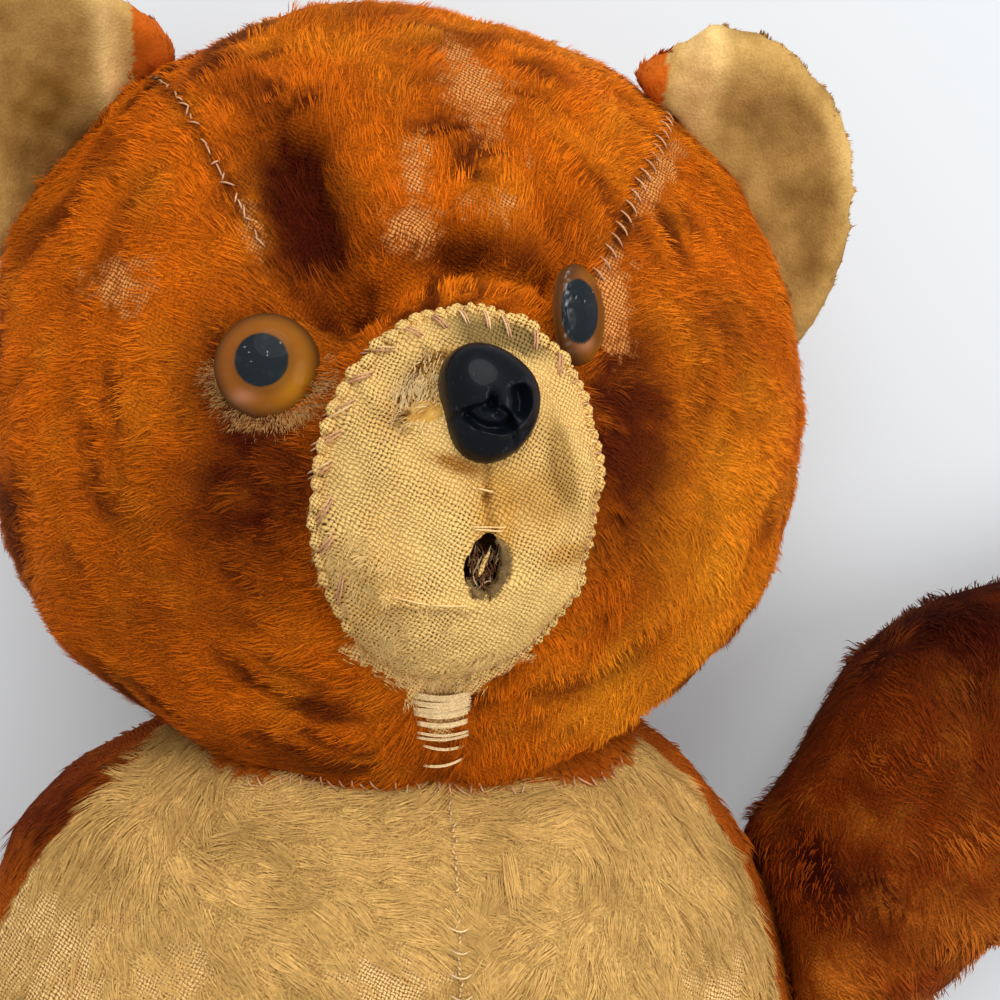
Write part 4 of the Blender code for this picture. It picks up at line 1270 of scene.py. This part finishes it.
def makeEye(side, facing, pupil, slip, material):
    across, up, out = facingOut(headAxes, facing)
    low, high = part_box(f"eye_lens_{side}")
    middle = (low + high) / 2 - out * 0.0022 + headAxes.to_3x3() @ Vector(slip)

    def place(share, turn):
        width, rise = eyes["radius"] * 0.93, -0.0016
        if share <= 0.96:
            lean = share / 0.96 * math.pi * 0.53
            width, rise = eyes["radius"] * math.sin(lean), eyes["height"] * math.cos(lean)
        return middle + across * width * math.cos(turn) + up * width * math.sin(turn) + out * rise

    mesh = domeMesh(f"eye{side.title()}", 60, 104, place)
    points = readPoints(mesh) - np.array(middle)
    addTint(mesh, "tint", eyeTints(points, across, up, out, pupil, side == "left"))
    replaced = [f"eye_{part}_{side}" for part in ("lens", "pupil", "washer")]
    newPiece(mesh, f"eye{side.title()}", "amber_plastic", material, replaced)


def makeEyeRing():
    # worn pale pile under the edge of the round eye
    look = eyes["ringPile"]
    x, y = eyeSpots[0][0] + eyeFacings[0][3][0], eyeSpots[0][1] + eyeFacings[0][3][1]
    spots = inAxes(readPoints(headCover.data), headAxes)
    far = np.hypot(spots[:, 0] - x, spots[:, 1] - y)
    low = limited((y + 0.001 - spots[:, 1]) / 0.004)
    weights = bell(far, 0.0104, 0.0013) * low * (spots[:, 2] > 0.0)
    roots, facing, spots = scattered(headCover.data, look["strands"], weights, 66, headAxes)
    way = turnedBy((spots - np.array([x, y, 0.0])) * np.array([1.0, 1.0, 0.0]), headAxes)
    tints = uneven(eyes["ringTint"], 0.15, spots, 0.002, 67)
    growPile("eyeRingPile", ("rust_plush", creamPile), roots, facing, way, look, tints, 68)


eyePlastic = eyeMaterial()
for side, facing, pupil, slip in eyeFacings:
    makeEye(side, facing, pupil, slip, eyePlastic)
makeEyeRing()
print("eyes made")


# Nose: a moulded black nose with its nostrils

nose = {
    "reach": (0.0083, 0.0093, 0.0108, 0.0128, 0.0097, 0.0113, 0.0109, 0.0091),  # every 45 degrees
    "facing": (0.02, 0.04, 1.0),
    "shift": (0.0025, -0.0017),
    "height": 0.0098,
    "black": (0.003, 0.004, 0.006),
    "dust": (0.2, 0.17, 0.14),
    "brow": (  # x, and the y where the smooth top ends there
        (-0.01, -0.007, -0.0037, -0.0016, -0.0002, 0.002, 0.003),
        (-0.0034, -0.0014, -0.0006, 0.0008, -0.001, -0.0026, -0.006),
    ),
    "step": 0.0021,
    "grooves": (  # points, half width and depth
        (
            ((-0.0058, -0.0026), (-0.0044, -0.004), (-0.0026, -0.0049), (0.0, -0.005), (0.0018, -0.004)),
            0.0009, 0.002,
        ),
        (((0.0034, 0.0018), (0.0038, 0.0002), (0.0036, -0.0014)), 0.0014, 0.0034),
        (((-0.0017, 0.0008), (-0.0016, -0.0008)), 0.0008, 0.0016),
        (
            (
                (0.0022, 0.003), (0.0044, 0.0036), (0.006, 0.0018), (0.006, -0.0014), (0.0044, -0.0042),
                (0.002, -0.0062), (-0.0008, -0.0066), (-0.0038, -0.0058),
            ),
            0.0006, -0.0008,  # a ridge
        ),
    ),
}


def alongPath(spots, path, reach):
    # 1 on a broken line and 0 well away from it
    share = np.zeros(len(spots))
    for start, end in zip(path, path[1:]):
        share = np.maximum(share, pressed(spots, ((start, end, reach, 1.0),)))
    return share


def noseMaterial():
    material, tree, place = newMaterial("mouldedNose", coat=0.1, coatRough=0.06, specular=0.06)
    dust = times(tree, ramp(tree, noiseAt(tree, place, 700.0, 4.0), 0.62, 0.74), 0.12)
    tint = mixColour(tree, dust, nose["black"], nose["dust"])
    rough = ramp(tree, noiseAt(tree, place, 300.0), -0.6, 2.4)
    return finished(material, tint, noiseAt(tree, place, 160.0), 0.12, 0.0006, rough)


def makeNose():
    across, up, out = facingOut(muzzleAxes, nose["facing"])
    low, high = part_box("nose")
    middle = Vector(((low.x + high.x) / 2, (low.y + high.y) / 2, high.z)) - out * 0.0088
    middle += across * nose["shift"][0] + up * nose["shift"][1]
    rounds = np.fft.rfft(nose["reach"]) / 8 * np.array([1, 2, 2, 2, 0.5])  # the outline as a few smooth waves

    def place(share, turn):
        wide = (rounds * np.exp(1j * turn * np.arange(5))).real.sum()
        lean = share * math.pi * 0.8
        x, y = (wide * math.sin(lean) ** 0.85 * f(turn) for f in (math.cos, math.sin))
        z = nose["height"] * (abs(math.cos(lean)) ** 0.62) * (1 if math.cos(lean) > 0 else -0.6)
        return middle + across * x + up * y + out * z

    mesh = domeMesh("moulded", 84, 124, place)
    points = readPoints(mesh) - np.array(middle)
    spots = np.column_stack([points @ np.array(across), points @ np.array(up)])
    below = np.interp(spots[:, 0], *nose["brow"]) - spots[:, 1]
    fade = np.exp(-((np.maximum(below, 0.0) / 0.0034) ** 2))
    sunk = nose["step"] * limited(below / 0.0006 + 0.5) * fade
    sunk *= limited((0.0034 - spots[:, 0]) / 0.001)
    for path, reach, deep in nose["grooves"]:
        sunk += deep * alongPath(spots, path, reach)
    top = limited(points @ np.array(out) / 0.002)
    writePoints(mesh, points + np.array(middle) - (sunk * top)[:, None] * np.array(out))
    newPiece(mesh, "noseMoulding", "nose_plastic", noseMaterial(), ("nose", "nose_washer"))


makeNose()
print("nose made")


# Threads: whip stitches, darns and the neck seam

threads = {
    "thick": 0.00022,
    "pink": (0.66, 0.36, 0.2),
    "cream": (0.8, 0.56, 0.29),
    "bright": (0.9, 0.66, 0.35),
    "edge": (0.93, 0.62, 0.26),
    "chestTies": (0.0918, 0.0871, 0.082, 0.0775, 0.07, 0.062, 0.055),
    "looseDarns": (-0.0734, -0.0741, -0.0762, -0.0768, -0.08, -0.0838),
}
mouthThreads = (  # over the seam between the nose and the mouth, and along the fold beside the mouth
    ((-0.001, -0.0086), (0.006, -0.0084)), ((-0.0006, -0.009), (0.0056, -0.0092)),
    ((-0.0004, -0.0012), (0.003, -0.0018)),
    ((-0.015, -0.0228), (-0.0072, -0.024)), ((-0.0076, -0.024), (0.0004, -0.0238)),
)
muzzleStitches = (41, 55, 69, 82, 96, 109, 122, 134, 145, 156, 166, 176, 187, 199, 212)  # degrees round it
headTree, muzzleTree = surfaceTree(headCover), surfaceTree(muzzleCloth)
faceTree = surfaceTree(headCover, muzzleCloth)
wholeTree = surfaceTree(headCover, muzzleCloth, bodyCover)


def rayAt(axes, x, y):
    # from in front of (x, y) of these axes, straight in
    return axes @ Vector((x, y, 0.15)), (axes.to_3x3() @ Vector((0.0, 0.0, -1.0))).normalized()


def onSurface(tree, axes, x, y, lift):
    # the point of the cloth at (x, y) of these axes, lifted off it
    start, down = rayAt(axes, x, y)
    hit = tree.ray_cast(start, down)
    point = hit[0] if hit[0] else axes @ Vector((x, y, 0.03))
    return point - down * lift


def stitchLine(tree, axes, start, end, arch, parts=6, sag=0.0):
    # one thread over the cloth from start to end, sunk at both ends
    line = []
    for step in range(parts + 1):
        share = step / parts
        x = start[0] + (end[0] - start[0]) * share
        y = start[1] + (end[1] - start[1]) * share - sag * math.sin(math.pi * share)
        line.append(onSurface(tree, axes, x, y, arch * math.sin(math.pi * share) - 0.0002))
    return line


def tubes(name, lines, sizes, sides=9, guide=(0.11, 0.19, 0.97), twist=0.0):
    # closed tubes along lines of points, with a half thickness for each point
    verts, faces = [], []
    for line, own in zip(lines, sizes):
        first = len(verts)
        last = len(line) - 1
        for index, point in enumerate(line):
            ahead = (line[min(index + 1, last)] - line[max(index - 1, 0)]).normalized()
            side = ahead.cross(Vector(guide)).normalized()
            top = side.cross(ahead)
            for corner in range(sides):
                turn = 2 * math.pi * corner / sides + twist * index
                verts.append(point + (side * math.cos(turn) + top * math.sin(turn)) * own[index])
        for index in range(last):
            a = first + index * sides
            for corner in range(sides):
                after = (corner + 1) % sides
                faces.append((a + corner, a + after, a + sides + after, a + sides + corner))
        faces.append(tuple(first + corner for corner in reversed(range(sides))))
        faces.append(tuple(first + last * sides + corner for corner in range(sides)))
    return listedMesh(name, verts, faces)


def addThreads(name, stitches, seed, thick=threads["thick"], replaced=()):
    # stitches are pairs of a line and its colour
    rng = np.random.default_rng(seed)
    lines = [line for line, colour in stitches]
    sizes = [[thick * 0.75] + [thick] * (len(line) - 2) + [thick * 0.75] for line in lines]
    mesh = tubes(name, lines, sizes, 5, (0.13, 0.21, 0.97), 0.5)
    tints = []
    for line, colour in stitches:
        shade = 1 + 0.1 * rng.normal()
        tints += [[min(1.0, channel * shade) for channel in colour]] * (5 * len(line))
    addTint(mesh, "tint", np.array(tints))
    newPiece(mesh, name, "darning_cotton", cotton, replaced)


def muzzleEdge(angle, share):
    turn = math.radians(angle)
    x = muzzleHalf[0] * math.cos(turn) * narrowed(max(math.sin(turn), 0.0)) * share
    return muzzleMiddle[0] + x, muzzleMiddle[1] + muzzleHalf[1] * math.sin(turn) * share


def rimShare(angle):
    # where the muzzle's cloth comes out of the head's, as a share of its outline
    for share in np.arange(1.22, 0.8, -0.006):
        start, down = rayAt(headAxes, *muzzleEdge(angle, share))
        cloth, under = muzzleTree.ray_cast(start, down), headTree.ray_cast(start, down)
        if cloth[0] and (not under[0] or cloth[3] < under[3] - 0.0004):
            return share
    return 1.0


def alongLine(points, step):
    # evenly spaced points on a broken line, each with the line's direction there
    spots = []
    carried = 0.0
    for start, end in zip(points, points[1:]):
        start, end = Vector(start), Vector(end)
        length = (end - start).length
        way = (end - start) / length
        while carried < length:
            spots.append((start + way * carried, way))
            carried += step
        carried -= length
    return spots


def stitchFace(rng):
    pink = threads["pink"]
    stitches = []
    for angle in muzzleStitches:
        slant = 3 + 3 * rng.random()
        rim = rimShare(angle)
        for twin in (-0.8, 0.8):
            start = muzzleEdge(angle + twin + 1.5 * slant, rim + 0.012 + 0.02 * rng.random())
            line = stitchLine(faceTree, headAxes, start, muzzleEdge(angle + twin, rim - 0.105), 0.0019, 8)
            stitches.append((line, pink if rng.random() < 0.8 else threads["cream"]))
    for spot, way in alongLine(head["seams"]["left"], head["stitched"]["left"]):
        across = Vector((math.cos(math.radians(-50)), math.sin(math.radians(-50)))) * 0.0021
        stitches.append((stitchLine(faceTree, headAxes, spot - across, spot + across, 0.0016), pink))
    for spot, way in alongLine(head["seams"]["right"], head["stitched"]["right"]):
        if rng.random() < 0.35:
            continue
        turn = math.radians(-48 + 34 * rng.normal())
        across = Vector((math.cos(turn), math.sin(turn))) * (0.0008 + 0.001 * rng.random())
        stitches.append((stitchLine(faceTree, headAxes, spot - across, spot + across, 0.0011), pink))
    addThreads("faceStitches", stitches, 72)


def edgeMuzzle(rng):
    # the turned edge of the muzzle puffs out between its stitches
    bound = np.arange(-86, 40, 3.9)
    angles = np.concatenate([bound, np.arange(40, 236, 5.6)])
    lines, sizes = [], []
    for angle, after in zip(angles, angles[1:]):
        size = 0.0013 if angle < 40 else 0.0017
        rim = rimShare(angle)
        lines.append([])
        sizes.append([])
        for step in range(8):
            share = step / 7
            x, y = muzzleEdge(angle + (after - angle) * share, rim - 0.02)
            lines[-1].append(onSurface(faceTree, headAxes, x, y, -0.0001))
            full = 0.45 + 0.55 * math.sin(math.pi * share)
            sizes[-1].append(size * full * (1 + 0.08 * rng.normal()))
    mesh = tubes("muzzleEdge", lines, sizes)
    addTint(mesh, "stainAndShade", np.ones((len(mesh.vertices), 3)))
    newPiece(mesh, "muzzleEdge", "worn_muzzle_cloth", muzzleCloth.data.materials[0])

    stitches = []
    for angle in bound:
        rim = rimShare(angle)
        start, end = muzzleEdge(angle - 0.8, rim + 0.02), muzzleEdge(angle + 0.6, rim - 0.06)
        line = stitchLine(faceTree, headAxes, start, end, 0.0012, 8)
        stitches.append((line, threads["pink"] if rng.random() < 0.4 else threads["edge"]))
    addThreads("muzzleBinding", stitches, 75)


def stitchBody(rng):
    stitches = []
    for x in np.arange(-0.047, 0.04, 0.0024):
        if rng.random() < 0.2:
            continue
        y = float(np.interp(x, *neckLine)) + 0.0004 * rng.normal()
        lean = 0.0007 + 0.0007 * rng.normal()
        start, end = (x - lean, y + 0.0012), (x + lean, y - 0.0014)
        stitches.append((stitchLine(wholeTree, Matrix.Identity(4), start, end, 0.0015), threads["pink"]))
    for y in threads["chestTies"]:
        line = stitchLine(wholeTree, bodyAxes, (0.0035, y + 0.0004), (0.009, y), 0.0024, 8, 0.0006)
        stitches.append((line, threads["bright"]))
    for step in range(60):
        start = (0.006 + 0.0003 * rng.normal(), 0.052 + 0.0011 * step)
        end = (0.006 + 0.0004 * rng.normal(), start[1] + 0.0009)
        stitches.append((stitchLine(wholeTree, bodyAxes, start, end, 0.0012, 4), threads["cream"]))
    for start, end in mouthThreads:
        stitches.append((stitchLine(faceTree, muzzleAxes, start, end, 0.0008, 6), threads["edge"]))
    addThreads("bodyStitches", stitches, 73)


def darnChin(rng):
    stitches = []
    for y in np.concatenate([np.arange(-0.0668, -0.0722, -0.0005), threads["looseDarns"]]):
        half = 0.0062 - max(0.0, -0.0668 - y) * 0.05 + 0.0003 * rng.normal()
        low = y + 0.0004 * rng.normal()
        high = y + 0.0008 + 0.0003 * rng.normal()
        for twin in (0.0, 0.0003):
            start, end = (chinMiddle(y) - half, low + twin), (chinMiddle(y) + half, high + twin)
            line = stitchLine(wholeTree, headAxes, start, end, 0.0026, 9, 0.0007)
            stitches.append((line, threads["bright"]))
    addThreads("chinDarn", stitches, 74, replaced=("chin_darn",))


threadDraws = np.random.default_rng(71)
for stitching in (stitchFace, edgeMuzzle, stitchBody, darnChin):
    stitching(threadDraws)
print("threads made")


# Mouth: a frayed hole with a felt rim, and the old nose seat beside the nose

mouth = {
    "middle": (0.0028, -0.016),
    "half": (0.0041, 0.006),
    "dark": (0.035, 0.012, 0.004),
    "rim": (0.18, 0.105, 0.036),
    "fuzz": (0.3, 0.185, 0.068),
    "fuzzPile": {
        **headPile, "strands": 1400, "length": 0.0009, "height": 0.0004, "width": 0.00012, "perLock": 1,
        "stray": 30, "curl": 0.4,
    },
    "fibres": 90,
    "fibreTints": ((0.12, 0.05, 0.02), (0.5, 0.33, 0.17)),  # two in three are the first
    "strip": ((0.92, 0.56, 0.2), (0.6, 0.34, 0.11), (0.24, 0.12, 0.03)),
}


def depthOf(x, y):
    # how far out of the muzzle's middle its cloth is at (x, y)
    return (muzzleAxes.inverted() @ onSurface(faceTree, muzzleAxes, x, y, 0.0)).z


def makeMouthRim(rng):
    x, y = mouth["middle"]
    wide, tall = mouth["half"]
    line, sizes = [], []
    for step in range(40):
        share = step / 39
        turn = math.radians(-150 + 215 * share)
        rise = depthOf(x + wide * 1.5 * math.cos(turn), y + tall * 1.4 * math.sin(turn)) - 0.0003
        place = (x + (wide - 0.0003) * math.cos(turn), y + (tall - 0.0003) * math.sin(turn), rise)
        line.append(muzzleAxes @ Vector(place))
        wobble = 1 + 0.16 * math.sin(7 * share + 1) + 0.08 * math.sin(31 * share) + 0.05 * rng.normal()
        sizes.append(0.001 * math.sin(math.pi * min(max(share, 0.04), 0.96)) ** 0.6 * wobble)
    mesh = tubes("mouthRim", [line], [sizes])
    newPiece(mesh, "mouthRim", "tan_felt", feltMaterial("mouthFelt", mouth["rim"]))
    roots, facing = scattered(mesh, mouth["fuzzPile"]["strands"], np.ones(len(mesh.vertices)), 93)[:2]
    way = np.random.default_rng(94).normal(size=(len(roots), 3))
    tints = uneven(mouth["fuzz"], 0.5, roots, 0.0012, 95)
    growPile("mouthFelt", feltFuzz, roots, facing, way, mouth["fuzzPile"], tints, 96)


def makeMouthInside(rng):
    # tangled fibres and a strip of backing in the hole
    lining = nodes["mouth_lining"].data.materials
    lining.clear()
    lining.append(feltMaterial("mouthInside", mouth["dark"]))
    x, y = mouth["middle"]
    deep = depthOf(x - mouth["half"][0] * 1.5, y) - 0.0032
    stitches = []
    for fibre in range(mouth["fibres"]):
        spot = rng.normal(size=2) * np.array(mouth["half"]) * 0.38
        turn, long = rng.uniform(0.9, 2.2), rng.uniform(0.0015, 0.005)
        flat = [spot - long / 2 * np.array([math.cos(turn), math.sin(turn)])]
        for index in range(4):
            turn += 0.25 * rng.normal()
            flat.append(flat[-1] + long / 4 * np.array([math.cos(turn), math.sin(turn)]))
        rise = rng.uniform(-0.0015, 0.0012)
        line = [muzzleAxes @ Vector((x + a, y + b, deep + rise)) for a, b in flat]
        stitches.append((line, mouth["fibreTints"][0 if rng.random() < 0.65 else 1]))
    addThreads("mouthFibres", stitches, 82, 0.00016)
    line, sizes = [], []
    for step in range(10):
        flat = (x - 0.0012 + 0.0018 * step / 9, y - 0.002 + 0.005 * step / 9)
        line.append(muzzleAxes @ Vector((*flat, deep + 0.0016 + 0.0006 * math.sin(step))))
        sizes.append(0.0003 * (0.5 + math.sin(math.pi * (step + 0.5) / 10)))
    cloth = weaveMaterial("creamBacking", *mouth["strip"], bodyAxes)
    newPiece(tubes("mouthStrip", [line], [sizes]), "mouthStrip", "worn_muzzle_cloth", cloth)


seatLook = {
    "pile": {**headPile, "length": 0.0032, "height": 0.0012, "width": 0.00022, "stray": 16, "rootShade": 0.6},
    "tint": (0.95, 0.66, 0.3),
    "muzzleTint": (0.9, 0.6, 0.22),
    "chinTint": (0.84, 0.54, 0.2),
    "glue": ((0.44, 0.2, 0.018), (0.66, 0.36, 0.045)),
}


def makeMuzzlePile():
    # unworn pile where the nose used to sit, worn pile low on the muzzle and on the chin
    look = seatLook["pile"]
    spots = inAxes(readPoints(muzzleCloth.data), muzzleAxes)
    top = spots[:, 2] > -0.005
    weights = falloff(spots, -0.0112, 0.0165, 0.0032, 0.006, -30) * top
    roots, facing = scattered(muzzleCloth.data, 900, weights + 1e-9, 83)[:2]
    way = turnedBy(np.tile(np.array([[-0.3, -0.9, 0.0]]), (len(roots), 1)), muzzleAxes)
    tints = np.array([seatLook["tint"]])
    growPile("seatPile", cream, roots, facing, way, look, tints, 84)

    look = {**look, "length": 0.0026, "height": 0.0007, "roundness": 0.2, "rootShade": 0.75}
    worn = sumOf(spots, muzzle["pileLeft"])
    rim = bell(muzzleShare(spots[:, :2] + np.array(muzzleMiddle)), 0.97, 0.03)
    weights = (np.where(worn > 0.35, worn, 0.0) + 0.35 * rim) * top
    roots, facing, spots = scattered(muzzleCloth.data, 8000, weights + 1e-9, 85, muzzleAxes)
    way = np.tile(np.array([-0.4, -0.9]), (len(roots), 1))
    way = turnedBy(swirled(way, spots, 70, 0.006, 86), muzzleAxes)
    tints = uneven(seatLook["muzzleTint"], 0.12, spots, 0.004, 87)
    growPile("muzzlePile", cream, roots, facing, way, look, tints, 88)

    spots = inAxes(readPoints(headCover.data), headAxes)
    weights = chinShare(spots) * (spots[:, 1] > -0.0715) * limited((spots[:, 1] + 0.0745) / 0.004)
    roots, facing, spots = scattered(headCover.data, 3200, weights + 1e-9, 90, headAxes)
    way = np.tile(np.array([0.0, -1.0, 0.0]), (len(roots), 1))
    way[:, 0] = -1.4 * (spots[:, 0] - 0.0046) / 0.012
    tints = uneven(seatLook["chinTint"], 0.12, spots, 0.004, 91)
    growPile("chinPile", cream, roots, facing, turnedBy(way, headAxes), look, tints, 92)


def glueMaterial():
    material, tree, place = newMaterial("driedGlue", rough=0.55)
    lumps = noiseAt(tree, place, 500.0)
    tint = mixColour(tree, ramp(tree, lumps, 0.35, 0.7), *seatLook["glue"])
    return finished(material, tint, lumps, 0.7, 0.0006)


def makeGlue():
    # dry glue beside the nose
    reach = np.random.default_rng(89).uniform(0.75, 1.2, 9)

    def place(share, turn):
        wide = float(np.interp(turn / (2 * math.pi) * 8, range(9), (*reach[:8], reach[0])))
        x = -0.0112 + 0.0042 * wide * share * math.cos(turn)
        y = 0.0128 + 0.0023 * wide * share * math.sin(turn)
        return onSurface(faceTree, muzzleAxes, x, y, 0.0009 * (1 - share**2) - 0.0002)

    newPiece(domeMesh("oldGlue", 10, 40, place), "oldGlue", "worn_muzzle_cloth", glueMaterial())


mouthDraws = np.random.default_rng(81)
makeMouthRim(mouthDraws)
makeMouthInside(mouthDraws)
makeMuzzlePile()
makeGlue()
print("mouth made")


# Floor, lights and camera

studio = {
    "floor": (0.53, 0.548, 0.562),
    "world": 0.66,
    "seen": 0.25,  # how much the table itself shines for the camera
    "lamps": (  # name, place, what it points at, size and watts
        ("key", (0.02, 1.3, 1.65), (0.0, 0.15, 0.05), 1.5, 24.5),
        ("fill", (0.9, 0.1, 1.0), (0.0, 0.1, 0.05), 0.8, 7.5),
    ),
    "camera": (0.01, 0.188, 0.47),
    "lens": 57.25,
}


def makeFloor():
    mesh = listedMesh("floor", [(-3, -3, 0), (3, -3, 0), (3, 3, 0), (-3, 3, 0)], [(0, 1, 2, 3)])
    floor = newObject("floor", mesh)
    material, tree, place = newMaterial("paleTable", rough=0.9, specular=0.1)
    shader = tree.nodes["Principled BSDF"]
    for key in ("Base Color", "Emission Color"):
        shader.inputs[key].default_value = (*studio["floor"], 1.0)
    seen = addNode(tree, "ShaderNodeLightPath").outputs["Is Camera Ray"]
    tree.links.new(times(tree, seen, studio["seen"]), shader.inputs["Emission Strength"])
    mesh.materials.append(material)


def addLamp(name, place, target, size, watts):
    lamp = bpy.data.lights.new(name, "AREA")
    lamp.shape = "DISK"
    lamp.size = size
    lamp.energy = watts
    holder = newObject(name, lamp)
    holder.location = place
    holder.rotation_euler = (Vector(target) - Vector(place)).to_track_quat("-Z", "Y").to_euler()


def makeStudio():
    makeFloor()
    scene = bpy.context.scene
    scene.view_settings.view_transform = "Standard"
    world = bpy.data.worlds.new("studio")
    world.use_nodes = True
    world.node_tree.nodes["Background"].inputs["Color"].default_value = (1.0, 1.0, 1.0, 1.0)
    world.node_tree.nodes["Background"].inputs["Strength"].default_value = studio["world"]
    scene.world = world
    for lamp in studio["lamps"]:
        addLamp(*lamp)
    camera = bpy.data.cameras.new("camera")
    camera.lens = studio["lens"]
    camera.sensor_width = 36.0
    camera.clip_start = 0.01
    scene.camera = newObject("camera", camera)
    scene.camera.location = studio["camera"]


makeStudio()
print("studio made")
